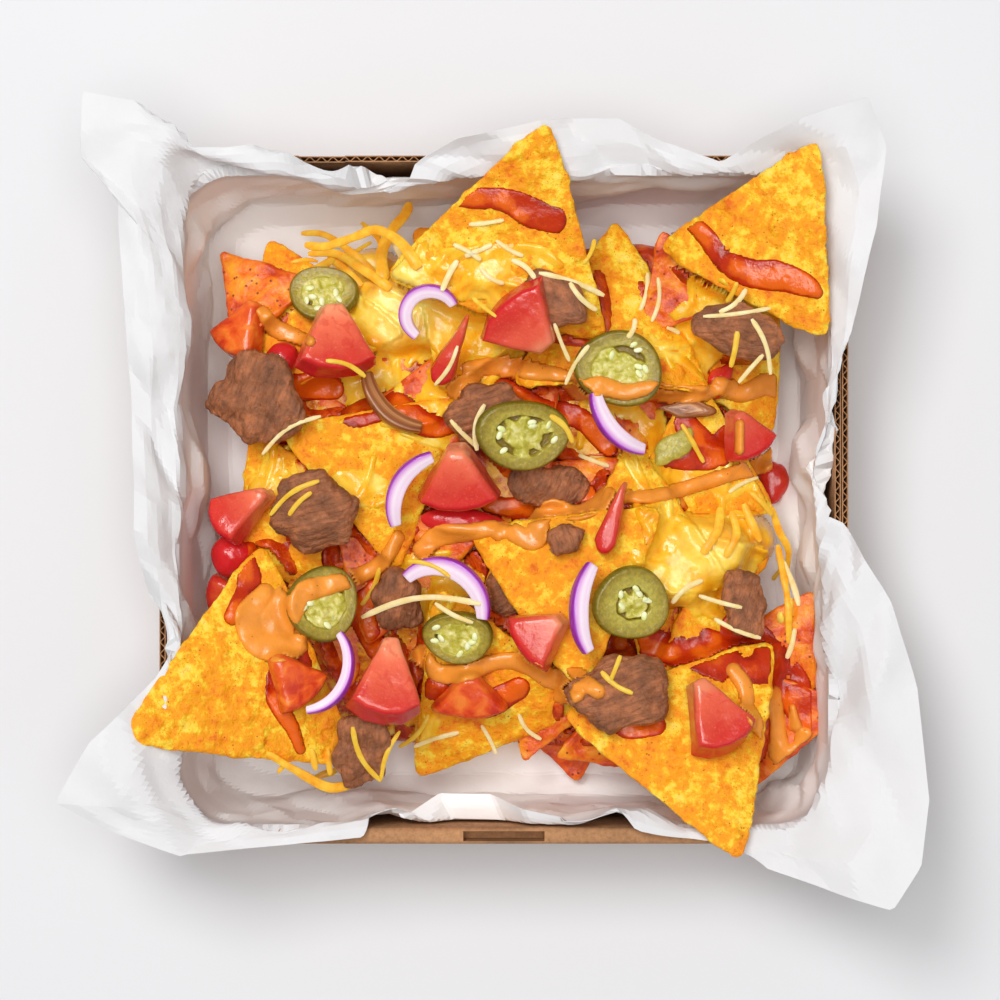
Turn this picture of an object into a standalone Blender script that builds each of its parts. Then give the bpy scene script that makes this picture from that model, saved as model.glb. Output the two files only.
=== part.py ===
"""Loaded nachos in an open corrugated tray with a crumpled paper liner.

Each piece of food is one solid, set down on what lies under it. Metres, +Z up, the tray's front at -Y,
and the origin at the middle of the tray's underside.
"""

import math
import random

import bmesh
import bpy
import numpy as np
from mathutils import Matrix, Vector, noise
from mathutils.bvhtree import BVHTree

MM = 0.001
CLEARANCE = 0.35 * MM

# Tray: a folded board box without its lid.
TRAY_SIDE = 178 * MM
TRAY_HEIGHT = 46 * MM
BOARD = 1.6 * MM
SIDE_WALL = 3.5 * MM
SIDE_GROOVE = (0.5 * MM, 5 * MM)
SIDE_GROOVE_STOP = 4 * MM
FRONT_WALL = 4.2 * MM
CUT_BEYOND = 10 * MM
FRONT_HOLLOW = 1.0 * MM
FRONT_FOLD_RADIUS = 1.4 * MM
LOCK_SLOT = (21 * MM, 2.6 * MM)
LOCK_SLOT_DEPTH = 6 * MM
EAR_NOTCH = (12 * MM, 1.5 * MM)
EAR_NOTCH_X = -47 * MM

# Paper liner: the sheet's middle surface, from the floor up the walls and out over the rim.
PAPER = 0.6 * MM
PAPER_FLOOR = BOARD + CLEARANCE + PAPER / 2
PAPER_STATIONS = 68
PAPER_WALL = 83.7 * MM
PAPER_CORNER = 14 * MM
PAPER_OVER_RIM = TRAY_HEIGHT + 1.6 * MM
PAPER_UP_THE_WALL = ((0.90, 2.25), (0.965, 7), (0.99, 22), (1.0, 38))
PAPER_CRUMPLE = 0.7 * MM
PAPER_CRUMPLE_SCALE = 60
PAPER_INSIDE_RIM = 0.4 * MM
PAPER_CLEAR_OF_RIM = 1.8 * MM
PAPER_CREST_DROP = 1.2 * MM
PAPER_LIFT = 0.08
PAPER_FLOOR_RING = 0.5

# The paper's free edge: how far round the wall from the back left corner (one unit to a side,
# clockwise from above), then x, y and z in millimetres.
PAPER_EDGE = (
    (-0.16, -98, 76, 57), (-0.06, -107, 87, 61), (-0.01, -106, 103, 64), (0.04, -94, 101, 59),
    (0.10, -82, 90, 54), (0.20, -64, 89, 50), (0.28, -54, 88, 49), (0.34, -41, 82, 43),
    (0.42, -26, 88, 49), (0.50, -12, 93, 52), (0.60, 9, 97, 54), (0.70, 30, 97, 54),
    (0.78, 41, 92, 51), (0.86, 56, 87, 48), (0.91, 66, 93, 53), (0.96, 77, 98, 57),
    (1.02, 92, 102, 61), (1.09, 97, 90, 58), (1.17, 95, 70, 55), (1.32, 89, 42, 51),
    (1.44, 83, 20, 45), (1.52, 80, 10, 38), (1.58, 83, 1, 44), (1.65, 91, -12, 52),
    (1.74, 99, -26, 55), (1.84, 105, -48, 57), (1.92, 108, -76, 58), (1.97, 106, -93, 58),
    (2.02, 99, -104, 57), (2.08, 84, -100, 54), (2.13, 67, -94, 52), (2.20, 57, -88, 49),
    (2.30, 36, -86, 48), (2.40, 16, -82, 46), (2.46, 5, -80, 44), (2.50, -3, -77, 36),
    (2.58, -17, -77, 35), (2.64, -25, -82, 45), (2.72, -37, -87, 48), (2.84, -61, -89, 50),
    (2.92, -83, -91, 52), (2.97, -101, -84, 55), (3.01, -114, -77, 58), (3.07, -106, -62, 56),
    (3.15, -90, -46, 51), (3.22, -84, -36, 48), (3.30, -91, -26, 50), (3.42, -95, -8, 52),
    (3.58, -95, 25, 53), (3.72, -97, 52, 55),
)

# Heap: the buried chips, sauce and melted cheese, reach in millimetres at every 15 degrees from +X.
HEAP_FLOOR = PAPER_FLOOR + PAPER / 2 + CLEARANCE
HEAP_REACH = (
    73, 74, 79, 90, 88, 76, 68, 68, 74, 84, 84, 78,
    74, 76, 82, 82, 80, 76, 72, 75, 82, 92, 86, 77,
)
HEAP_EDGE = 8 * MM
HEAP_RISE = 15 * MM
HEAP_UNEVEN = 2.2 * MM
HEAP_UNEVEN_SCALE = 55
HEAP_SEGMENTS = (36, 12)

# Food.
CHIP_THICKNESS = 1.8 * MM
CHIP_CORNER_SHARPNESS = 9
CHIP_RIPPLE = 0.8 * MM
CHIP_RIPPLE_SCALE = 70
SHARP_CORNERS = 60
CHIP_GRID = 6
STEAK_SEGMENTS = (14, 5)
STEAK_UNEVEN = 0.9 * MM
STEAK_UNEVEN_SCALE = 140
STEAK_BLUNTNESS = 0.7
TOMATO_EDGE_ROUNDING = 0.9 * MM
TOMATO_TOP_SHARE = 0.88
PEPPER_SLICE = 4.0 * MM
PEPPER_RECESS = 0.7 * MM
PEPPER_RIND = 2.6 * MM
PEPPER_EDGE_ROUNDING = 0.8 * MM
PEPPER_UNEVEN = 0.06
STRIP_FLATNESS = 0.8

# Settling: a height field over the whole tray, one cell to the millimetre.
CELL = 1 * MM
FIELD_HALF = 0.125
FIELD_CELLS = 2 * round(FIELD_HALF / CELL) + 1
STEEPEST_REST = 0.36
SLOPE_STEPS = (0.15, 0.05, 0.015)

COLOURS = {
    "board": (0.43, 0.21, 0.09),
    "paper": (0.86, 0.85, 0.83),
    "heap": (0.72, 0.24, 0.03),
    "chip": (0.90, 0.42, 0.04),
    "steak": (0.17, 0.075, 0.04),
    "tomato": (0.66, 0.05, 0.025),
    "pepper": (0.27, 0.28, 0.05),
    "onion": (0.55, 0.22, 0.52),
    "cooked_strip": (0.16, 0.06, 0.025),
}
ROUGHNESS = {"board": 0.85, "paper": 0.8, "heap": 0.4, "chip": 0.7, "steak": 0.55, "tomato": 0.3,
             "pepper": 0.35, "onion": 0.35, "cooked_strip": 0.4}

# Chips: x, y of the middle (mm), bearing of the tip (degrees), side (mm), bow (mm), bearing of the
# bow's axis (degrees), and the slope (rise along x, rise along y) where the chip doesn't lie as it falls.
CHIPS = {
    "chip_01": (-60, 2, 115, 36, 2, 100, None),
    "chip_02": (-58, -11, 60, 34, 2, 10, None),
    "chip_03": (-53, 47, 115, 50, 4, 115, None),
    "chip_04": (60, 42, -60, 52, 3, 30, None),
    "chip_05": (52, 8, 92, 46, 3, 90, None),
    "chip_06": (46, -24, 20, 54, 3, 20, None),
    "chip_07": (36, -11, 95, 50, 5, 95, None),
    "chip_08": (-33, 9, 160, 52, 4, 60, None),
    "chip_09": (-5, -51, 233, 58, 3, 60, None),
    "chip_10": (55, -46, -20, 48, 3, 50, None),
    "chip_11": (17, -20, 156, 56, 3, 60, None),
    "chip_12": (-6, 54, 130, 54, 3, 40, None),
    "chip_13": (29, 46, 88, 56, 9, 88, None),
    "chip_14": (2, 65, 74, 64, 2, 74, None),
    "chip_15": (67, 66, 62, 54, 3, 62, None),
    "chip_16": (-66, -47, 203, 67, 3, 203, None),
    "chip_17": (49, -61, 289, 64, 3, 289, None),
}

# Steak: x, y (mm), thickness (mm), reach (mm) at every 45 degrees from +X, and the slope if it hangs.
STEAK = {
    "steak_01": (-65, 26, 8, (14, 13, 16, 12, 15, 11, 12, 15), None),
    "steak_02": (-50, -3, 7, (13, 11, 12, 12, 12, 12, 12, 13), None),
    "steak_03": (60, 44, 7, (12, 7, 7, 11, 13, 9, 8, 13), None),
    "steak_04": (30, -50, 8, (15, 14, 11, 11, 15, 12, 10, 12), None),
    "steak_05": (-37, -65, 5, (7, 12, 12, 10, 7, 11, 12, 8), (0.0, 0.35)),
    "steak_06": (2, -24, 6, (9, 6, 8, 9, 7, 9, 7, 10), None),
    "steak_07": (-28, -26, 7, (7, 7, 10, 7, 8, 9, 10, 10), None),
    "steak_08": (-4, 23, 7, (13, 11, 9, 10, 12, 12, 9, 10), None),
    "steak_09": (12, 4, 7, (13, 8, 5, 8, 13, 8, 6, 8), None),
    "steak_10": (16, -10, 5, (6, 6, 4, 5, 6, 5, 4, 5), None),
    "steak_11": (63, -27, 7, (6, 7, 10, 9, 6, 7, 11, 8), None),
}

# Tomato chunks: x, y (mm), bearing of the pointed end (degrees), length, width and thickness (mm).
TOMATOES = {
    "tomato_01": (-44, 41, 94, 20, 23, 9),
    "tomato_02": (5, 46, -45, 18, 25, 9),
    "tomato_03": (-14, 38, 65, 22, 7, 5),
    "tomato_04": (-12, 5, 93, 18, 23, 9),
    "tomato_05": (-70, -3, 30, 19, 15, 8),
    "tomato_06": (-74, -25, 0, 12, 12, 9),
    "tomato_07": (-30, -47, 85, 23, 20, 9),
    "tomato_08": (9, -35, 35, 15, 18, 8),
    "tomato_09": (54, -56, 115, 21, 19, 10),
    "tomato_10": (-9, -52, 90, 13, 22, 6),
    "tomato_11": (64, 17, 120, 14, 15, 8),
    "tomato_12": (28, -6, 72, 21, 6.5, 5),
    "tomato_13": (-54, -47, 130, 16, 17, 6),
    "tomato_14": (-70, 45, 60, 17, 16, 8),
}

# Pickled pepper slices: x, y (mm), bearing of the long axis (degrees), long and short diameter (mm).
PEPPERS = {
    "pepper_01": (-48, 55, -10, 19, 15),
    "pepper_02": (30, 34, -20, 23, 20),
    "pepper_03": (5, 17, -5, 25, 19),
    "pepper_04": (-47, -27, 80, 20, 19),
    "pepper_05": (-12, -36, 0, 19, 14),
    "pepper_06": (33, -27, -15, 21, 19),
}

# Arcs of onion and one cooked strip: x, y of the arc's middle point (mm), radius (mm), first and last
# bearing (degrees), width (mm).
ARCS = {
    "onion_01": (-19, 48, 6.6, 30, 232, 3.8),
    "onion_02": (38, 28, 15, 185, 262, 4.4),
    "onion_03": (-14, -2, 14.9, 110, 195, 4.6),
    "onion_04": (-17, -29, 12, -4, 134, 5.0),
    "onion_05": (38, -29, 20, 145, 210, 4.5),
    "onion_06": (-51, -42, 12, -82, 36, 3.0),
    "cooked_strip_01": (-21, 34, 15.5, 187, 265, 4.5),
}
ARC_POINTS = 9
WELD = 0.01 * MM

# What is set down first lies at the bottom.
ORDER = (
    "tomato_06", "chip_01", "chip_02", "chip_03", "chip_04", "chip_05", "chip_06", "chip_10",
    "chip_08", "tomato_05", "chip_07", "steak_06", "steak_07", "chip_09", "chip_11", "chip_12",
    "chip_13", "chip_16", "chip_14", "chip_15", "chip_17", "tomato_14", "steak_01", "steak_02",
    "steak_03", "steak_04", "steak_05", "steak_08", "steak_09", "steak_10", "steak_11",
    "cooked_strip_01", "pepper_01", "tomato_01", "tomato_02", "tomato_03", "tomato_04", "tomato_07",
    "tomato_08", "tomato_09", "tomato_10", "tomato_11", "tomato_12", "tomato_13", "pepper_02",
    "pepper_03", "pepper_04", "pepper_05", "pepper_06", "onion_01", "onion_02", "onion_03", "onion_04",
    "onion_05", "onion_06",
)


def clear_scene():
    for thing in list(bpy.data.objects):
        bpy.data.objects.remove(thing, do_unlink=True)


def new_collection(name):
    collection = bpy.data.collections.new(name)
    bpy.context.scene.collection.children.link(collection)
    return collection


def make_material(name, kind):
    material = bpy.data.materials.new(name)
    material.use_nodes = True
    shader = material.node_tree.nodes["Principled BSDF"]
    shader.inputs["Base Color"].default_value = (*COLOURS[kind], 1)
    shader.inputs["Roughness"].default_value = ROUGHNESS[kind]
    shader.inputs["Metallic"].default_value = 0
    material.diffuse_color = (*COLOURS[kind], 1)
    return material


def make_object(name, mesh, collection, kind=None):
    thing = bpy.data.objects.new(name, mesh)
    collection.objects.link(thing)
    if kind:
        mesh.materials.append(make_material(name, kind))
    return thing


def mesh_from(name, bm):
    bmesh.ops.recalc_face_normals(bm, faces=bm.faces)
    mesh = bpy.data.meshes.new(name)
    bm.to_mesh(mesh)
    bm.free()
    return mesh


def box_mesh(name, low, high):
    bm = bmesh.new()
    bmesh.ops.create_cube(bm, size=1)
    size = Vector(high) - Vector(low)
    middle = (Vector(high) + Vector(low)) / 2
    bmesh.ops.transform(bm, matrix=Matrix.Translation(middle) @ Matrix.Diagonal((*size, 1)), verts=bm.verts)
    return mesh_from(name, bm)


def cyclic(values, position):
    """Smooth curve through equally spaced values that meet end to end."""
    count = len(values)
    index = math.floor(position)
    t = position - index
    before, first, second, after = (values[(index + k) % count] for k in (-1, 0, 1, 2))
    return 0.5 * (
        2 * first
        + (second - before) * t
        + (2 * before - 5 * first + 4 * second - after) * t * t
        + (3 * first - before - 3 * second + after) * t ** 3
    )


# ---------------------------------------------------------------- tray


def cut(target, name, low, high, cutters):
    """Takes the box from low to high out of the target."""
    cutter = make_object(name, box_mesh(name, low, high), cutters)
    cutter.hide_render = True
    cutter.display_type = "WIRE"
    boolean = target.modifiers.new(name, "BOOLEAN")
    boolean.operation = "DIFFERENCE"
    boolean.solver = "EXACT"
    boolean.object = cutter


def tray_block():
    """The tray's outside, with the front wall's top rolled over."""
    half = TRAY_SIDE / 2
    bm = bmesh.new()
    bmesh.ops.create_cube(bm, size=1)
    lift = Matrix.Translation((0, 0, TRAY_HEIGHT / 2))
    stretch = Matrix.Diagonal((TRAY_SIDE, TRAY_SIDE, TRAY_HEIGHT, 1))
    bmesh.ops.transform(bm, matrix=lift @ stretch, verts=bm.verts)
    front_top = [
        edge for edge in bm.edges
        if all(vert.co.y < -half * 0.9 and vert.co.z > TRAY_HEIGHT / 2 for vert in edge.verts)
    ]
    bmesh.ops.bevel(bm, geom=front_top, offset=FRONT_FOLD_RADIUS, segments=3, affect="EDGES", profile=0.5)
    return mesh_from("tray", bm)


def make_tray(parts, cutters):
    half = TRAY_SIDE / 2
    beyond = TRAY_HEIGHT + CUT_BEYOND
    tray = make_object("tray", tray_block(), parts, "board")
    side_inner = half - SIDE_WALL
    front_inner = half - FRONT_WALL
    cut(tray, "cut_inside", (-side_inner, -front_inner, BOARD), (side_inner, half - BOARD, beyond), cutters)

    hollow = -half + FRONT_WALL / 2
    hollow_low = (-side_inner, hollow - FRONT_HOLLOW / 2, 2 * BOARD)
    hollow_high = (side_inner, hollow + FRONT_HOLLOW / 2, TRAY_HEIGHT - BOARD)
    cut(tray, "cut_front_hollow", hollow_low, hollow_high, cutters)
    slot_low = (-LOCK_SLOT[0] / 2, hollow - LOCK_SLOT[1] / 2, TRAY_HEIGHT - LOCK_SLOT_DEPTH)
    slot_high = (LOCK_SLOT[0] / 2, hollow + LOCK_SLOT[1] / 2, beyond)
    cut(tray, "cut_lock_slot", slot_low, slot_high, cutters)

    width, depth = SIDE_GROOVE
    for side, name in ((-1, "left"), (1, "right")):
        middle = side * (half - SIDE_WALL / 2)
        low = (middle - width / 2, -front_inner, TRAY_HEIGHT - depth)
        high = (middle + width / 2, half - SIDE_GROOVE_STOP, beyond)
        cut(tray, f"cut_{name}_groove", low, high, cutters)

    notch_half = EAR_NOTCH[0] / 2
    notch_low = (EAR_NOTCH_X - notch_half, half - 2 * BOARD, TRAY_HEIGHT - EAR_NOTCH[1])
    notch_high = (EAR_NOTCH_X + notch_half, half + BOARD, beyond)
    cut(tray, "cut_ear_notch", notch_low, notch_high, cutters)
    return tray


# ---------------------------------------------------------------- paper liner


def wall_point(station, half, corner):
    """A point on a rounded square, at a station measured from its back left corner clockwise."""
    side = math.floor(station)
    along = (station - side) * 2 - 1
    x = along * half
    y = half
    straight = half - corner
    if abs(x) > straight:
        turn = (abs(x) - straight) / corner * math.pi / 4
        x = math.copysign(straight + corner * math.sin(turn), x)
        y = straight + corner * math.cos(turn)
    turned = Matrix.Rotation(-side * math.pi / 2, 2) @ Vector((x, y))
    return turned.x, turned.y


def paper_edge(station):
    """The free edge's place at a station, on a smooth curve through its named places."""
    keys = [(key[0] + 4 * lap, *key[1:]) for lap in (-1, 0, 1) for key in PAPER_EDGE]
    index = max(k for k in range(len(keys)) if keys[k][0] <= station)
    before, first, second, after = (Vector(key) for key in keys[index - 1:index + 3])
    span = second[0] - first[0]
    t = (station - first[0]) / span
    leave = (second - before) * (span / (second[0] - before[0]))
    arrive = (after - first) * (span / (after[0] - first[0]))
    place = (
        first * (2 * t ** 3 - 3 * t * t + 1)
        + leave * (t ** 3 - 2 * t * t + t)
        + second * (3 * t * t - 2 * t ** 3)
        + arrive * (t ** 3 - t * t)
    )
    return Vector(place[1:]) * MM


def clear_the_rim(places):
    """Keeps each free-edge place inside the wall while it is low, and above the rim once it is out."""
    inside = PAPER_WALL - PAPER_INSIDE_RIM
    clear_height = TRAY_HEIGHT + PAPER_CLEAR_OF_RIM
    low = [place.z < clear_height for place in places]
    for index, place in enumerate(places):
        reach = max(abs(place.x), abs(place.y))
        beside_low = low[index - 1] or low[(index + 1) % len(places)]
        limit = inside if low[index] else PAPER_WALL
        if (low[index] or beside_low) and reach > limit:
            place.x = max(-limit, min(limit, place.x))
            place.y = max(-limit, min(limit, place.y))
            if not low[index]:
                place.z = max(place.z, clear_height)
    return places


def paper_column(station, edge):
    """One strip of the paper from the floor to the free edge."""
    column = []
    for share, height in PAPER_UP_THE_WALL:
        x, y = wall_point(station, PAPER_WALL * share, PAPER_CORNER * share)
        height = min(height * MM, edge.z * height * MM / TRAY_HEIGHT)
        column.append(Vector((x, y, max(height, PAPER_FLOOR))))
    x, y = wall_point(station, PAPER_WALL, PAPER_CORNER)
    crest = Vector((x, y, min(PAPER_OVER_RIM, edge.z - PAPER_CREST_DROP)))
    column.append(crest)
    lift = Vector((0, 0, PAPER_LIFT * (edge - crest).xy.length))
    column.append(crest.lerp(edge, 0.5) + lift)
    column.append(edge)
    return column


def crumple(place):
    """Small, smooth unevenness of the paper; none on the floor, upward only above the rim."""
    if place.z < 4 * MM:
        return Vector()
    swing = noise.noise_vector(place * PAPER_CRUMPLE_SCALE)
    if place.z > TRAY_HEIGHT:
        return Vector((0, 0, abs(swing.z))) * PAPER_CRUMPLE * 2
    inward = -Vector((place.x, place.y, 0)).normalized()
    return inward * abs(swing.x) * PAPER_CRUMPLE


def make_paper(parts):
    stations = [4 * k / PAPER_STATIONS for k in range(PAPER_STATIONS)]
    edges = clear_the_rim([paper_edge(station) for station in stations])
    bm = bmesh.new()
    middle = bm.verts.new((0, 0, PAPER_FLOOR))
    columns = []
    for station, edge in zip(stations, edges):
        x, y = wall_point(station, PAPER_WALL * PAPER_FLOOR_RING, PAPER_CORNER * PAPER_FLOOR_RING)
        column = [Vector((x, y, PAPER_FLOOR)), *paper_column(station, edge)]
        columns.append([bm.verts.new(place + crumple(place)) for place in column])
    for first, second in zip(columns, columns[1:] + columns[:1]):
        bm.faces.new((middle, second[0], first[0]))
        for k in range(len(first) - 1):
            bm.faces.new((first[k], second[k], second[k + 1], first[k + 1]))
    paper = make_object("paper_liner", mesh_from("paper_liner", bm), parts, "paper")
    thicken(paper, PAPER)
    return paper


def thicken(thing, thickness):
    solidify = thing.modifiers.new("thickness", "SOLIDIFY")
    solidify.thickness = thickness
    solidify.offset = 0


# ---------------------------------------------------------------- heap


def make_heap(parts):
    """The mound that the pieces lie on: a squashed sphere with a flat underside."""
    bm = bmesh.new()
    bmesh.ops.create_uvsphere(bm, u_segments=HEAP_SEGMENTS[0], v_segments=HEAP_SEGMENTS[1], radius=1)
    underside = [vert for vert in bm.verts if vert.co.z < -0.01]
    for vert in bm.verts:
        out = vert.co.xy.length
        bearing = math.degrees(math.atan2(vert.co.y, vert.co.x)) % 360
        reach = cyclic(HEAP_REACH, bearing / 15) * MM
        flat = vert.co.xy.normalized() * reach * out if out > 0.01 else Vector((0, 0))
        height = HEAP_FLOOR
        if vert.co.z > -0.01:
            height += HEAP_EDGE + HEAP_RISE * math.sqrt(max(0, 1 - out ** 2.4))
            height += HEAP_UNEVEN * noise.noise(Vector((flat.x, flat.y, 0)) * HEAP_UNEVEN_SCALE)
        vert.co = Vector((flat.x, flat.y, height))
    flat_faces = [face for face in bm.faces if all(vert in underside for vert in face.verts)]
    bmesh.ops.dissolve_faces(bm, faces=flat_faces, use_verts=True)
    return make_object("nacho_heap", mesh_from("nacho_heap", bm), parts, "heap")


# ---------------------------------------------------------------- food pieces


def triangle_reach(bearing, sharpness):
    """Distance from the middle to the edge of a triangle whose inscribed circle has radius 1."""
    facing = [max(0, math.cos(bearing - math.radians(side))) for side in (-90, 30, 150)]
    return sum(part ** sharpness for part in facing) ** (-1 / sharpness)


def chip_mesh(name, side, bow, bow_bearing, tip_bearing):
    """A bowed triangle with rounded corners, one tip at +Y."""
    bm = bmesh.new()
    bmesh.ops.create_circle(bm, cap_ends=True, segments=3, radius=side / math.sqrt(3))
    first = max(bm.verts, key=lambda vert: vert.co.y)
    turn = math.pi / 2 - math.atan2(first.co.y, first.co.x)
    bmesh.ops.rotate(bm, matrix=Matrix.Rotation(turn, 3, "Z"), verts=bm.verts)
    bmesh.ops.subdivide_edges(bm, edges=bm.edges[:], cuts=CHIP_GRID - 1, use_grid_fill=True)
    axis = math.radians(bow_bearing - tip_bearing + 90)
    across = Vector((-math.sin(axis), math.cos(axis)))
    waviness = random.uniform(0, 100)
    for vert in bm.verts:
        bearing = math.atan2(vert.co.y, vert.co.x)
        sharp = triangle_reach(bearing, SHARP_CORNERS)
        vert.co *= triangle_reach(bearing, CHIP_CORNER_SHARPNESS) / sharp
        bend = vert.co.xy.dot(across) / (side / 2)
        ripple = noise.noise(Vector((*(vert.co.xy * CHIP_RIPPLE_SCALE), waviness)))
        vert.co.z = -bow * MM * bend * bend + ripple * CHIP_RIPPLE
    return mesh_from(name, bm)


def make_chip(name, parts):
    _, _, tip, side, bow, bow_bearing, _ = CHIPS[name]
    mesh = chip_mesh(name, side * MM, bow, bow_bearing, tip)
    chip = make_object(name, mesh, parts, "chip")
    thicken(chip, CHIP_THICKNESS)
    return chip, tip - 90


def make_steak(name, parts):
    """A torn slab: a sphere drawn out to its reaches, blunt at the rim and uneven all over."""
    _, _, thickness, reaches, _ = STEAK[name]
    bm = bmesh.new()
    bmesh.ops.create_uvsphere(bm, u_segments=STEAK_SEGMENTS[0], v_segments=STEAK_SEGMENTS[1], radius=1)
    patch = random.uniform(0, 100)
    for vert in bm.verts:
        out = vert.co.xy.length
        bearing = math.degrees(math.atan2(vert.co.y, vert.co.x)) % 360
        reach = cyclic(reaches, bearing / 45) * MM
        flat = vert.co.xy.normalized() * reach * out ** STEAK_BLUNTNESS if out > 0.01 else Vector((0, 0))
        height = math.copysign(abs(vert.co.z) ** STEAK_BLUNTNESS, vert.co.z) * thickness * MM / 2
        vert.co = Vector((flat.x, flat.y, height))
        lump = noise.noise_vector(vert.co * STEAK_UNEVEN_SCALE + Vector((patch, 0, 0)))
        vert.co += lump * STEAK_UNEVEN
    return make_object(name, mesh_from(name, bm), parts, "steak"), 0


def tomato_outline(length, width):
    """A wedge seen flat: a blunt point at +Y, straight cut sides and a bulging skin at -Y."""
    tip = length * 0.55
    shoulder = -length * 0.28
    skin = -length * 0.45
    blunt = width * 0.1
    return (
        (blunt, tip), (-blunt, tip), (-width * 0.3, (tip + shoulder) / 2), (-width * 0.5, shoulder),
        (-width * 0.27, skin * 0.92), (0, skin), (width * 0.27, skin * 0.92), (width * 0.5, shoulder),
        (width * 0.3, (tip + shoulder) / 2),
    )


def make_tomato(name, parts):
    _, _, tip, length, width, thickness = TOMATOES[name]
    outline = tomato_outline(length * MM, width * MM)
    bm = bmesh.new()
    circle = bmesh.ops.create_circle(bm, cap_ends=True, segments=len(outline), radius=1)["verts"]
    circle.sort(key=lambda vert: math.atan2(vert.co.y, vert.co.x))
    corners = sorted(outline, key=lambda point: math.atan2(point[1], point[0]))
    for vert, (x, y) in zip(circle, corners):
        vert.co = Vector((x, y, -thickness * MM / 2))
    grown = bmesh.ops.extrude_face_region(bm, geom=bm.faces[:])["geom"]
    top = [item for item in grown if isinstance(item, bmesh.types.BMVert)]
    for vert in top:
        vert.co.z += thickness * MM
        vert.co.xy *= TOMATO_TOP_SHARE
    bmesh.ops.recalc_face_normals(bm, faces=bm.faces)
    rounding = min(TOMATO_EDGE_ROUNDING, width * 0.12 * MM)
    caps = [face for face in bm.faces if abs(face.normal.z) > 0.9]
    rims = list({edge for face in caps for edge in face.edges})
    bmesh.ops.bevel(bm, geom=rims, offset=rounding, segments=1, affect="EDGES", clamp_overlap=True)
    return make_object(name, mesh_from(name, bm), parts, "tomato"), tip - 90


def make_pepper(name, parts):
    """A slice across a pickled pepper: an uneven disc, its middle a little sunk."""
    _, _, bearing, long, short = PEPPERS[name]
    bm = bmesh.new()
    bmesh.ops.create_cone(bm, cap_ends=True, segments=16, radius1=0.5, radius2=0.5, depth=PEPPER_SLICE)
    patch = random.uniform(0, 100)
    for vert in bm.verts:
        around = math.atan2(vert.co.y, vert.co.x)
        lobe = 1 + PEPPER_UNEVEN * noise.noise(Vector((math.cos(around), math.sin(around), patch)))
        vert.co.x *= long * MM * lobe
        vert.co.y *= short * MM * lobe
    top = max(bm.faces, key=lambda face: face.calc_center_median().z)
    bmesh.ops.bevel(bm, geom=list(top.edges), offset=PEPPER_EDGE_ROUNDING, segments=1, affect="EDGES")
    top = max(bm.faces, key=lambda face: (round(face.calc_center_median().z, 6), face.calc_area()))
    bmesh.ops.inset_region(bm, faces=[top], thickness=PEPPER_RIND, depth=-PEPPER_RECESS)
    return make_object(name, mesh_from(name, bm), parts, "pepper"), bearing


def make_arc(name, parts):
    """A bent strip: a curve with a bevel, turned to a mesh and flattened."""
    _, _, radius, first, last, width = ARCS[name]
    curve = bpy.data.curves.new(name, "CURVE")
    curve.dimensions = "3D"
    curve.bevel_depth = width * MM / 2
    curve.bevel_resolution = 1
    curve.use_fill_caps = True
    spline = curve.splines.new("POLY")
    spline.points.add(ARC_POINTS - 1)
    for index, point in enumerate(spline.points):
        share = index / (ARC_POINTS - 1)
        angle = math.radians(first + (last - first) * share)
        point.co = (math.cos(angle) * radius * MM, math.sin(angle) * radius * MM, 0, 1)
        point.radius = 0.55 + 0.45 * math.sin(math.pi * share) ** 0.5
    line = make_object(name + "_line", curve, parts)
    graph = bpy.context.evaluated_depsgraph_get()
    mesh = bpy.data.meshes.new_from_object(line.evaluated_get(graph))
    bpy.data.objects.remove(line)
    bm = bmesh.new()
    bm.from_mesh(mesh)
    bpy.data.meshes.remove(mesh)
    bmesh.ops.remove_doubles(bm, verts=bm.verts, dist=WELD)
    for vert in bm.verts:
        vert.co.z *= STRIP_FLATNESS
    kind = "onion" if name.startswith("onion") else "cooked_strip"
    return make_object(name, mesh_from(name, bm), parts, kind), 0


# ---------------------------------------------------------------- settling


def evaluated_tree(thing, matrix):
    """A search tree of the thing's mesh with its modifiers, placed by the matrix."""
    graph = bpy.context.evaluated_depsgraph_get()
    mesh = thing.evaluated_get(graph).to_mesh()
    bm = bmesh.new()
    bm.from_mesh(mesh)
    thing.evaluated_get(graph).to_mesh_clear()
    bmesh.ops.transform(bm, matrix=matrix, verts=bm.verts)
    tree = BVHTree.FromBMesh(bm)
    corners = np.array([vert.co for vert in bm.verts])
    bm.free()
    return tree, corners.min(axis=0), corners.max(axis=0)


def scan(thing, matrix):
    """The thing's lowest and highest surface over each cell of the field."""
    tree, low_corner, high_corner = evaluated_tree(thing, matrix)
    low = np.full((FIELD_CELLS, FIELD_CELLS), np.inf)
    high = np.full((FIELD_CELLS, FIELD_CELLS), -np.inf)
    first = [max(0, math.floor((low_corner[k] + FIELD_HALF) / CELL)) for k in (0, 1)]
    last = [min(FIELD_CELLS - 1, math.ceil((high_corner[k] + FIELD_HALF) / CELL)) for k in (0, 1)]
    above = high_corner[2] + 1
    below = low_corner[2] - 1
    for i in range(first[0], last[0] + 1):
        for j in range(first[1], last[1] + 1):
            x = i * CELL - FIELD_HALF
            y = j * CELL - FIELD_HALF
            hit = tree.ray_cast(Vector((x, y, above)), Vector((0, 0, -1)))[0]
            if hit is None:
                continue
            high[i, j] = hit.z
            hit = tree.ray_cast(Vector((x, y, below)), Vector((0, 0, 1)))[0]
            low[i, j] = hit.z if hit else high[i, j]
    return low, high


def spread(field, choose):
    """Each cell takes the chosen value of itself and its eight neighbours."""
    padded = np.pad(field, 1, mode="edge")
    size = field.shape[0]
    shifts = [padded[i:i + size, j:j + size] for i in range(3) for j in range(3)]
    return choose(np.stack(shifts), axis=0)


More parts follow.
